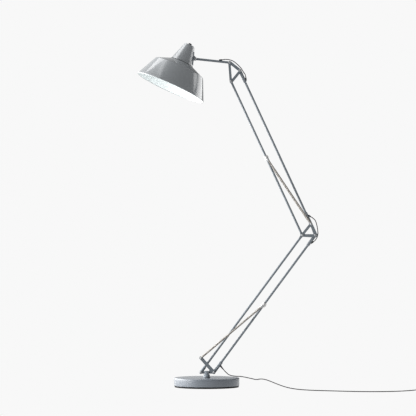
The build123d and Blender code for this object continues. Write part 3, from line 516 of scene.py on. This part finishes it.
def coil_place(turned):
    """A point of the put-away coil, a number of turns from its start: in, up a layer, and out again."""
    climb_end = COIL_TURNS_IN + COIL_TURNS_UP
    radius = COIL_OUTER - COIL_STEP * min(turned, COIL_TURNS_IN) + COIL_STEP * max(turned - climb_end, 0)
    share = min(max((turned - COIL_TURNS_IN) / COIL_TURNS_UP, 0), 1)
    height = CORD / 2 + COIL_CLIMB * share * share * (3 - 2 * share)
    angle = math.radians(COIL_START_ANGLE - 360 * turned)
    return COIL_CENTRE + Vector((radius * math.cos(angle), radius * math.sin(angle), height))


def coil_way(turned):
    """Direction of the coil a number of turns from its start."""
    return (coil_place(turned + SMALL_TURN) - coil_place(max(turned - SMALL_TURN, 0))).normalized()


coil_entry = coil_place(0)
coil_entry_way = coil_way(0)
coil_points = [
    coil_place(step / POINTS_PER_TURN) + coil_entry_way * CORD
    for step in range(1, int(COIL_TURNS * POINTS_PER_TURN) + 1)
]
plug_way = coil_way(COIL_TURNS - SMALL_TURN)
plug_way.z = 0
plug_way.normalize()
plug_side = plug_way.cross(Vector((0, 0, 1))).normalized()
plug_tip = coil_points[-1] + plug_way * PLUG_TAIL
run_route = [
    drop_end,
    run_first,
    at(180, 15, 56.2),
    at(205, 8, 52),
    at(243, -9, 45),
    at(264, -22, 40),
    at(287, -38, 45.5),
    at(308, -58, 44.5),
    at(335, -86, 37),
    at(378, -136, 21),
    at(425, -190, 8),
    at(478, -245, 2.6),
    at(545, -303, 2.25),
    at(620, -336, 2.25),
    at(695, -366, 2.25),
    at(775, -396, 2.25),
    at(855, -404, 2.25),
    at(930, -392, 2.25),
    at(1000, -360, 2.25),
    at(1058, -308, 2.25),
    at(1098, -250, 2.25),
    coil_entry - coil_entry_way * 22 * MM,
    coil_entry + coil_entry_way * CORD / 2,
    *coil_points,
    (coil_points[-1] + plug_tip) / 2,
    plug_tip,
]


def cord_piece(name, points, ends, far_end, lay, replaced, **facts):
    """A still cord along points. Its ends, far_end, lay and facts are not used."""
    made = tube(name, points, CORD / 2, CORD_SIDES, CORD_SHEATH)
    if replaced:
        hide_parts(replaced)
    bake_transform(made)
    return made


def split_at(points, place):
    """Two stretches of a line, which meet at the point nearest a place."""
    nearest = min(range(len(points)), key=lambda index: (points[index] - place).length)
    return points[: nearest + 1], points[nearest:]


drop_line = spline_points("drop_line", drop_route, LONG_CORD_STEPS)
cord_piece("cord_drop", drop_line, ("lower_right", "turret", drop_line[0], drop_line[-1]),
           "object", "hanging", "mains_cord_drop")

# Plug, with its ribbed strain relief, grip rings and sleeved pins

PLUG_LENGTH = 35.1 * MM
PLUG_HALF_WIDTH = 17 * MM
PLUG_HALF_HEIGHT = 7 * MM
PLUG_CORNER = 5 * MM
GRIPS_AT = (20 * MM, 24 * MM, 28 * MM)
GRIP_WIRE = 0.45 * MM
GRIP_SIDES = 8
RELIEF_LENGTH = 20 * MM
RELIEF_WIDE = 5.6 * MM
RELIEF_NARROW = 3.1 * MM
RELIEF_RIBS = 4
PIN_SPACING = 19 * MM
PIN_RADIUS = 2 * MM
PIN_LENGTH = 19 * MM
PIN_TIP = 1.6 * MM
PIN_SLEEVE = 8 * MM
PIN_SLEEVE_WALL = 0.3 * MM


def ring_round_plug(distance):
    """Closed line round the plug's body, a distance from the cord."""
    corners = [
        (PLUG_HALF_WIDTH, PLUG_HALF_HEIGHT, PLUG_CORNER),
        (PLUG_HALF_WIDTH, -PLUG_HALF_HEIGHT, PLUG_CORNER),
        (-PLUG_HALF_WIDTH, -PLUG_HALF_HEIGHT, PLUG_CORNER),
        (-PLUG_HALF_WIDTH, PLUG_HALF_HEIGHT, PLUG_CORNER),
    ]
    middle = plug_tip + plug_way * distance
    line = [middle + plug_side * p.x + Vector((0, 0, p.y)) for p in rounded(corners, steps=8)]
    closing = (line[0] + line[-1]) / 2
    return [closing, *line, closing]


def sleeved_pin(index, side):
    """A pin with a rounded tip, and the insulating sleeve round its root."""
    place = standing(plug_tip + plug_way * PLUG_LENGTH + plug_side * side * PIN_SPACING / 2, plug_way)
    pin = rounded([
        (PINHOLE, 0, 0),
        (PIN_RADIUS, 0, 0),
        (PIN_RADIUS, PIN_LENGTH, PIN_TIP),
        (PINHOLE, PIN_LENGTH, 0),
    ])
    shaft = sharpen(lathe(f"plug_pin_{index}", pin, CHROME, place, SMALL_SIDES))
    replaced = ["plug_pins"] if index == 0 else []
    sleeve = rounded([
        (PIN_RADIUS, 0, 0),
        (PIN_RADIUS + PIN_SLEEVE_WALL, 0, 0),
        (PIN_RADIUS + PIN_SLEEVE_WALL, PIN_SLEEVE, EDGE),
        (PIN_RADIUS, PIN_SLEEVE, 0),
    ])
    cover = sharpen(lathe(f"pin_sleeve_{index}", sleeve, BLACK_PLASTIC, place, SMALL_SIDES))
    return [
        stands_for(shaft, "base", "chrome", *replaced),
        stands_for(cover, "base", "black_plastic"),
    ]


def plug_pieces():
    """The small pieces on the plug: they ride with it on the base."""
    outline = sleeve_outline(RELIEF_LENGTH, RELIEF_WIDE, RELIEF_NARROW, CORD / 2 + PINHOLE, RELIEF_RIBS)
    relief = lathe("plug_relief", outline, BLACK_RUBBER, standing(plug_tip, -plug_way), SMALL_SIDES)
    made = [stands_for(relief, "base", "black_rubber")]
    for index, distance in enumerate(GRIPS_AT):
        ring = tube(f"plug_grip_{index}", ring_round_plug(distance), GRIP_WIRE, GRIP_SIDES, BLACK_PLASTIC)
        made.append(stands_for(ring, "base", "black_plastic"))
    for index, side in enumerate((-1, 1)):
        made.extend(sleeved_pin(index, side))
    return made


RUN_TURNS_FROM = at(150, 14, 0)
RUN_STILL_FROM = at(560, -300, 0)

run_line = spline_points("run_line", run_route, LONG_CORD_STEPS)
run = cord_piece("cord_run", run_line, ("turret", "base", RUN_TURNS_FROM, RUN_STILL_FROM), "plug", "loose",
                 "mains_cord_run", with_pieces=[nodes["mains_plug"], *plug_pieces()])
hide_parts("mains_cord_coil")

# Each lead is split where the bracket that it passes takes over from one arm to the other

ELBOW_SPLIT = at(597, 0, 850)
HEAD_SPLIT = at(147, 0, 1755)

elbow_line = spline_points("elbow_line", elbow_route, LEAD_STEPS)
upper_part, lower_part = split_at(elbow_line, ELBOW_SPLIT)
cord_piece("elbow_lead_upper", upper_part, ("upper_right", "elbow", upper_part[0], upper_part[-1]),
           "object", "hanging", "elbow_lead")
cord_piece("elbow_lead_lower", lower_part, ("elbow", "lower_right", lower_part[0], lower_part[-1]),
           "object", "hanging", None)

head_line = spline_points("head_line", head_route, LEAD_STEPS)
tube_part, rod_part = split_at(head_line, HEAD_SPLIT)
cord_piece("head_lead_tube", tube_part, ("head_arm", "head_bracket", tube_part[0], tube_part[-1]),
           "object", "hanging", "head_lead")
cord_piece("head_lead_rod", rod_part, ("head_bracket", "upper_right", rod_part[0], rod_part[-1]),
           "object", "hanging", None)

# Ribbed rubber bushes that the cables leave the rods through

BUSH_WIDE = 5.2 * MM
BUSH_TAPER = math.tan(math.radians(5))
RIB_EVERY = 4 * MM


def cable_bush(name, tip, way, length, body, *replaced):
    """Bush whose narrow end is where the cable comes out."""
    narrow = BUSH_WIDE - length * BUSH_TAPER
    outline = sleeve_outline(length, BUSH_WIDE, narrow, CORD / 2 + PINHOLE, round(length / RIB_EVERY))
    made = lathe(name, outline, BLACK_RUBBER, standing(tip - way * length, way), SMALL_SIDES)
    stands_for(made, body, "black_rubber", *replaced)


cable_bush("mains_bush", mains_start, mains_way, MAINS_BUSH_LENGTH, "lower_right", "lower_cable_bushes")
cable_bush("elbow_bush_low", elbow_end, elbow_end_way, BUSH_LENGTH, "lower_right")
cable_bush("elbow_bush_high", elbow_start, elbow_start_way, BUSH_LENGTH, "upper_right", "upper_cable_bushes")
cable_bush("head_bush_low", head_end, head_end_way, BUSH_LENGTH, "upper_right")
cable_bush("head_bush_high", head_start, head_start_way, BUSH_LENGTH, "head_arm", "head_cable_bush")

# Springs

SPRING_Y = 20 * MM
COIL_RADIUS = 4.1 * MM
WIRE = 1.8 * MM
WIRE_SIDES = 6
WIRE_PITCH = 1.9 * MM
STEPS_PER_TURN = 12
COIL_STARTS_AT = math.radians(225)
HOOK_SLACK = 0.6 * MM
HOOK_STRAIGHT = 1.2 * MM
HOOK_TRANSITION = 6 * MM
# The point between a hook and its coil, in shares of the coil's start and of its radius
BEND_ALONG = 0.6
BEND_ACROSS = 0.93
BEND_DEEP = 0.3
# Degrees round the pin that the wire of each hook covers
HOOK_STEP = 15
HOOK_ARC = range(40, 270, HOOK_STEP)
STUD_HOOK_ARC = range(200, 505, HOOK_STEP)
SHANK_AT = (8.6 * MM, 7.6 * MM, 6.7 * MM)
CAP_LENGTH = 14 * MM
CAP_BORE = 5.3 * MM
CAP_RADIUS = 6.3 * MM
CAP_NOSE = 3.2 * MM
CAP_SHOULDER = 1.2 * MM
CAP_LIP = 1 * MM
CAP_WALL = 0.6 * MM
CAP_GROOVE_FROM = 3 * MM
CAP_GROOVE_TO = 5.5 * MM
CAP_GROOVE = 0.5 * MM


def spring_line(anchor, stud, y):
    """Centreline of a close-wound extension spring, from its hook on the anchor to its far end."""
    along = (stud - anchor).normalized()
    across = quarter_right(along)
    depth = Vector((0, 1, 0))
    length = (stud - anchor).length

    def place(u, v, w):
        """A point along, across and behind the spring's line."""
        return anchor + depth * (y + w) + along * u + across * v

    points = []
    for degrees in HOOK_ARC:
        turned = math.radians(degrees)
        points.append(place(HOOK_SLACK + COIL_RADIUS * math.cos(turned), COIL_RADIUS * math.sin(turned), 0))
    start = HOOK_SLACK + HOOK_TRANSITION
    points.append(place(HOOK_SLACK + HOOK_STRAIGHT, -COIL_RADIUS, 0))
    points.append(place(start * BEND_ALONG, -COIL_RADIUS * BEND_ACROSS, -COIL_RADIUS * BEND_DEEP))
    wound = length - 2 * start - CAP_NOSE
    steps = round(wound / WIRE_PITCH) * STEPS_PER_TURN
    for step in range(steps + 1):
        turned = COIL_STARTS_AT + math.tau * step / STEPS_PER_TURN
        u = start + wound * step / steps
        points.append(place(u, COIL_RADIUS * math.cos(turned), COIL_RADIUS * math.sin(turned)))
    return points


def end_hook(anchor, stud, y):
    """Centreline of the hook on the stud, with the shank that goes into the spring's cap."""
    along = (stud - anchor).normalized()
    across = quarter_right(along)
    middle = stud + Vector((0, y, 0))
    points = [middle - along * reach for reach in SHANK_AT]
    for degrees in STUD_HOOK_ARC:
        turned = math.radians(degrees)
        reach = COIL_RADIUS * math.cos(turned) - HOOK_SLACK
        points.append(middle + along * reach + across * COIL_RADIUS * math.sin(turned))
    return points


def spring_cap(name, place, along):
    """Turned cap over a coil's end, with a grip groove and a nose that the shank comes out of."""
    shank_hole = WIRE / 2 + EDGE
    outline = rounded([
        (CAP_BORE, 0, 0),
        (CAP_RADIUS, 0, 2 * EDGE),
        (CAP_RADIUS, CAP_GROOVE_FROM, EDGE),
        (CAP_RADIUS - CAP_GROOVE, CAP_GROOVE_FROM + CAP_GROOVE, EDGE),
        (CAP_RADIUS - CAP_GROOVE, CAP_GROOVE_TO - CAP_GROOVE, EDGE),
        (CAP_RADIUS, CAP_GROOVE_TO, EDGE),
        (CAP_RADIUS, CAP_LENGTH - CAP_NOSE, CAP_SHOULDER),
        (CAP_RADIUS / 2, CAP_LENGTH, 3 * EDGE),
        (shank_hole, CAP_LENGTH, 0),
        (shank_hole, CAP_LENGTH - CAP_LIP, 0),
        (CAP_BORE, CAP_LENGTH - CAP_NOSE - CAP_WALL, 0),
    ], steps=4)
    return sharpen(lathe(name, outline, STEEL, standing(place, along), SMALL_SIDES), angle=30)


def spring_pair(arm, anchor, stud, stud_body):
    """Front and rear springs of an arm, with their caps and end hooks."""
    along = (stud - anchor).normalized()
    for side, y in (("front", -SPRING_Y), ("rear", SPRING_Y)):
        coil = tube(f"{arm}_coil_{side}", spring_line(anchor, stud, y), WIRE / 2, WIRE_SIDES, SPRING_WIRE)
        stands_for(coil, None, "spring_steel", f"{arm}_spring_{side}")
        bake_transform(coil)
        root = stud - along * (HOOK_SLACK + HOOK_TRANSITION + CAP_LENGTH) + Vector((0, y, 0))
        cap = spring_cap(f"{arm}_cap_{side}", root, along)
        replaced = [f"{arm}_spring_caps"] if side == "front" else []
        stands_for(cap, f"{arm}_caps", "steel", *replaced)
        hook = tube(f"{arm}_hook_{side}", end_hook(anchor, stud, y), WIRE / 2, WIRE_SIDES, SPRING_WIRE)
        stands_for(hook, stud_body, "spring_steel")


spring_pair("lower", LOWER_ANCHOR, LOWER_COLLAR, "lower_right")
spring_pair("upper", ELBOW_TOP, UPPER_COLLAR, "upper_left")

# Shade

SHEET = 1.5 * MM
KNOB_HOLE = 5.1 * MM
NECK_TOP_RADIUS = 29 * MM
NECK_TOP_EDGE = 4 * MM
NECK_FOOT_RADIUS = 64 * MM
NECK_HEIGHT = 105 * MM
SPIGOT_RADIUS = 58.1 * MM
SPIGOT_HEIGHT = 12 * MM
SPIGOT_EDGE = 2 * MM
SEAT_WIDTH = 2 * MM
SEAT_EDGE = 3 * MM
SHOULDER_RADIUS = 141 * MM
SHOULDER_DEPTH = 138 * MM
SHOULDER_EDGE = 12 * MM
RIM_RADIUS = 194 * MM
RIM_DEPTH = 256 * MM
BEAD_RADIUS = 2.2 * MM
BEAD_ARC = range(60, -240, -20)
# The bead's point where the white inside begins
WHITE_FROM_BEAD_POINT = 11
BELL_SIDES = 160
# The gasket is a dark ring round the neck's foot, partly painted shade for the crease between neck and bell.
GASKET_PROUD = 0.6 * MM
GASKET_INSIDE = 1 * MM
GASKET_HEIGHT = 2 * MM
GASKET_EDGE = 0.3 * MM


def sheet_outline(corners, thickness):
    """Outer line of a bent sheet, and the same line moved inward and run backward."""
    outer = rounded(corners, steps=8)
    inner = []
    for index, point in enumerate(outer):
        before = outer[max(index - 1, 0)]
        after = outer[min(index + 1, len(outer) - 1)]
        way = (after - before).normalized()
        inner.append(point + Vector((way.y, -way.x)) * thickness)
    return outer, inner[::-1]


def shade_bell():
    """Spun bell, painted outside and white inside, with a rolled rim. A spigot goes up into the neck."""
    seat = -NECK_HEIGHT - GAP
    outer, inner = sheet_outline(
        [
            (SPIGOT_RADIUS, seat + SPIGOT_HEIGHT, 0),
            (SPIGOT_RADIUS, seat, SPIGOT_EDGE),
            (NECK_FOOT_RADIUS + SEAT_WIDTH, seat, SEAT_EDGE),
            (SHOULDER_RADIUS, -SHOULDER_DEPTH, SHOULDER_EDGE),
            (RIM_RADIUS, -RIM_DEPTH + BEAD_RADIUS, 0),
        ],
        SHEET,
    )
    bead = []
    middle = Vector((RIM_RADIUS - SHEET / 2, -RIM_DEPTH + BEAD_RADIUS))
    for degrees in BEAD_ARC:
        turned = math.radians(degrees)
        bead.append(middle + Vector((math.cos(turned), math.sin(turned))) * BEAD_RADIUS)
    outer = outer[:-1]
    inner = inner[1:]
    white_from = len(outer) + WHITE_FROM_BEAD_POINT
    made = lathe("bell", outer + bead + inner, SHADE_PAINT, SHADE_PLACE, BELL_SIDES, WHITE_PAINT, white_from)
    stands_for(sharpen(made), "shade", "spun_aluminium", "shade_bell")


def shade_neck():
    """Spun neck housing, with a hole for the knob's stem."""
    outer, inner = sheet_outline(
        [
            (KNOB_HOLE, 0, 0),
            (NECK_TOP_RADIUS, 0, NECK_TOP_EDGE),
            (NECK_FOOT_RADIUS, -NECK_HEIGHT, 0),
        ],
        SHEET,
    )
    made = lathe("neck_housing", outer + inner, SHADE_PAINT, SHADE_PLACE)
    stands_for(sharpen(made), "shade", "spun_aluminium", "shade_neck")


def neck_gasket_crease_shade():
    """Thin black rubber gasket round the neck's foot: a dark line there that is partly painted shade, for the
    crease between neck and bell.
    """
    inside = NECK_FOOT_RADIUS - GASKET_INSIDE
    outside = NECK_FOOT_RADIUS + GASKET_PROUD
    outline = rounded([
        (inside, -NECK_HEIGHT, 0),
        (outside, -NECK_HEIGHT, GASKET_EDGE),
        (outside, -NECK_HEIGHT + GASKET_HEIGHT, GASKET_EDGE),
        (inside, -NECK_HEIGHT + GASKET_HEIGHT, 0),
    ])
    made = lathe("neck_gasket_crease_shade", outline, BLACK_RUBBER, SHADE_PLACE)
    stands_for(sharpen(made), "shade", "black_rubber")


shade_bell()
shade_neck()
neck_gasket_crease_shade()

# Base cover

BASE_RADIUS = 175 * MM
BASE_TOP = 50 * MM
COVER_SHEET = 2 * MM
COVER_HOLE = 8.5 * MM
COVER_EDGE = 5 * MM
COVER_FOOT = 6.1 * MM
COVER_FOOT_EDGE = 2.5 * MM
COVER_TURNED_IN = 4 * MM
COVER_SIDES = 192
# The outline's first point on the foot's edge: one for the hole and nine on the top edge come before it. From it
# on the faces are black rubber, a black band at the foot that is partly painted shade, for the dark contact line
# under the base
COVER_SHADE_BAND_FROM = 10


def base_cover():
    """Pressed cover with a rounded top edge. Its foot's rounded edge, its turned-in foot and its inside are black
    rubber: the black band at the foot is partly painted shade, for the dark contact line under the base.
    """
    outer, inner = sheet_outline(
        [
            (COVER_HOLE, BASE_TOP, 0),
            (BASE_RADIUS, BASE_TOP, COVER_EDGE),
            (BASE_RADIUS, COVER_FOOT, COVER_FOOT_EDGE),
            (BASE_RADIUS - COVER_TURNED_IN, COVER_FOOT, 0),
        ],
        COVER_SHEET,
    )
    made = lathe("cover", outer + inner, COVER_PAINT, sides=COVER_SIDES, inner=BLACK_RUBBER,
                 inner_from=COVER_SHADE_BAND_FROM)
    stands_for(sharpen(made), "base", "grey_paint", "base_cover")


base_cover()

# Small fixings

FRONT = Vector((0, -1, 0))
FIXING_SIDES = 24
SOCKET_RADIUS = 8.5 * MM
SOCKETS = (
    ("lower_foot", BASE_RIGHT, LOWER_UP, "lower_right"),
    ("lower_head", ELBOW_RIGHT, -LOWER_UP, "lower_right"),
    ("upper_foot", ELBOW_TOP, UPPER_UP, "upper_right"),
    ("upper_head", HEAD_RIGHT, -UPPER_UP, "upper_right"),
)
SET_SCREWS_AT = (36, 60)
SCREW_RADIUS = 2.6 * MM
SCREW_SUNK = 0.5 * MM
SCREW_PROUD = 0.9 * MM
KEY_RADIUS = 1.4 * MM
KEY_FLOOR_RADIUS = 1.3 * MM
KEY_FLOOR = 0.1 * MM
NECK_SLOPE = (NECK_FOOT_RADIUS - NECK_TOP_RADIUS) / NECK_HEIGHT
SADDLE_OUTSIDE = 2.6 * MM
RIVET_DEPTHS = (34, 83)
RIVET_BEARINGS = (-16, 16)
RIVET_RADIUS = 2.8 * MM
RIVET_DOME = 1.4 * MM
RIVET_SUNK = 0.6 * MM


def set_screw(name, place, way, body):
    """Socket set screw that stands a little proud."""
    outline = rounded([
        (PINHOLE, -SCREW_SUNK, 0),
        (SCREW_RADIUS, -SCREW_SUNK, 0),
        (SCREW_RADIUS, SCREW_PROUD, 2 * EDGE),
        (KEY_RADIUS, SCREW_PROUD, EDGE),
        (KEY_FLOOR_RADIUS, KEY_FLOOR, 0),
        (PINHOLE, KEY_FLOOR, 0),
    ], steps=3)
    made = lathe(name, outline, STEEL, standing(place, way), FIXING_SIDES)
    stands_for(sharpen(made, angle=30), body, "steel")


def rivet(name, place, way, body):
    """Domed rivet head."""
    outline = [Vector((PINHOLE, -RIVET_SUNK)), Vector((RIVET_RADIUS, -RIVET_SUNK))]
    for degrees in range(0, 90, 10):
        turned = math.radians(degrees)
        outline.append(Vector((RIVET_RADIUS * math.cos(turned), RIVET_DOME * math.sin(turned))))
    outline.append(Vector((PINHOLE, RIVET_DOME)))
    made = lathe(name, outline, STEEL, standing(place, way), FIXING_SIDES)
    stands_for(sharpen(made, angle=50), body, "steel")


def socket_screws():
    """Two set screws on the front of each socket that holds a rod."""
    for name, pivot, way, body in SOCKETS:
        for distance in SET_SCREWS_AT:
            place = pivot + way * distance * MM + FRONT * SOCKET_RADIUS
            set_screw(f"set_screw_{name}_{distance}", place, FRONT, body)


def saddle_rivets():
    """Four rivets that hold the saddle to the neck's side."""
    for depth in RIVET_DEPTHS:
        radius = NECK_TOP_RADIUS + NECK_SLOPE * depth * MM + SADDLE_OUTSIDE / math.cos(math.atan(NECK_SLOPE))
        for degrees in RIVET_BEARINGS:
            turned = math.radians(degrees)
            out = Vector((math.cos(turned), math.sin(turned), NECK_SLOPE)).normalized()
            place = Vector((radius * math.cos(turned), radius * math.sin(turned), -depth * MM))
            rivet(f"saddle_rivet_{depth}_{degrees - RIVET_BEARINGS[0]}", SHADE_PLACE @ place,
                  SHADE_PLACE.to_3x3() @ out, "shade")


socket_screws()
saddle_rivets()

# Studio: a pale floor that runs into a pale background, and large soft lights

WHITE = (0.9386, 0.9386, 0.9386)
SURROUND_TINT = (1.0, 1.01, 1.02)
FLOOR_HALF = 16


def studio_floor():
    """Pale, evenly lit floor."""
    corners = [(-1, -1), (1, -1), (1, 1), (-1, 1)]
    floor = piece("floor", [(x * FLOOR_HALF, y * FLOOR_HALF, 0) for x, y in corners], [(0, 1, 2, 3)], [])
    made = bpy.data.materials.new("pale_floor")
    made.use_nodes = True
    tree = made.node_tree
    tree.nodes.clear()
    glow = tree.nodes.new("ShaderNodeEmission")
    glow.inputs["Color"].default_value = (*WHITE, 1)
    output = tree.nodes.new("ShaderNodeOutputMaterial")
    tree.links.new(glow.outputs["Emission"], output.inputs["Surface"])
    floor.data.materials.append(made)


def softbox(name, place, target, size, radiance):
    """A rectangular area light that faces a target, as bright as its radiance says."""
    light = bpy.data.lights.new(name, "AREA")
    light.shape = "RECTANGLE"
    light.size, light.size_y = size
    light.energy = radiance * math.pi * size[0] * size[1]
    box = bpy.data.objects.new(name, light)
    scene.collection.objects.link(box)
    box.location = place
    box.rotation_euler = (Vector(target) - Vector(place)).to_track_quat("-Z", "Y").to_euler()
    box.visible_camera = False


# What surrounds the lamp, by bearing: 0 is left, 0.25 is in front, 0.5 is right and 0.75 is behind
SURROUND = (
    (0.0, 2.6),
    (0.045, 1.8),
    (0.09, 0.9),
    (0.13, 0.55),
    (0.2, 0.4),
    (0.26, 0.27),
    (0.71, 0.15),
    (0.77, 0.72),
    (0.9, 1.0),
    (1.0, 2.6),
)


def studio_world():
    """Pale background, in a room that is bright behind and to the left, and darker in front and right."""
    world = bpy.data.worlds.new("studio")
    world.use_nodes = True
    tree = world.node_tree
    seen = tree.nodes["Background"]
    seen.inputs["Color"].default_value = (*WHITE, 1)
    place = tree.nodes.new("ShaderNodeTexCoord")
    bearing = tree.nodes.new("ShaderNodeTexGradient")
    bearing.gradient_type = "RADIAL"
    ramp = tree.nodes.new("ShaderNodeValToRGB")
    elements = ramp.color_ramp.elements
    while len(elements) < len(SURROUND):
        elements.new(0.5)
    for element, (position, level) in zip(elements, SURROUND):
        element.position = position
        element.color = (*(level * channel for channel in SURROUND_TINT), 1)
    lit = tree.nodes.new("ShaderNodeBackground")
    path = tree.nodes.new("ShaderNodeLightPath")
    mix = tree.nodes.new("ShaderNodeMixShader")
    link = tree.links.new
    link(place.outputs["Generated"], bearing.inputs["Vector"])
    link(bearing.outputs["Fac"], ramp.inputs["Fac"])
    link(ramp.outputs["Color"], lit.inputs["Color"])
    link(path.outputs["Is Camera Ray"], mix.inputs["Fac"])
    link(lit.outputs["Background"], mix.inputs[1])
    link(seen.outputs["Background"], mix.inputs[2])
    link(mix.outputs["Shader"], tree.nodes["World Output"].inputs["Surface"])
    scene.world = world


studio_floor()
studio_world()
softbox("key", (-2.6, 1.5, 1.1), target=(0, 0, 0.9), size=(3.6, 3.2), radiance=5.5)
softbox("low_left", (-2.6, -0.7, 0.7), target=(0, 0, 0.1), size=(2.2, 1.2), radiance=10)
softbox("side", (2.0, 1.3, 2.3), target=(-0.1, 0, 1.75), size=(3.0, 1.1), radiance=1.9)
softbox("overhead", (-1.5, -1.0, 3.4), target=(-1.5, -1.0, 0), size=(1.1, 4.4), radiance=2.2)
scene.view_settings.view_transform = "Standard"
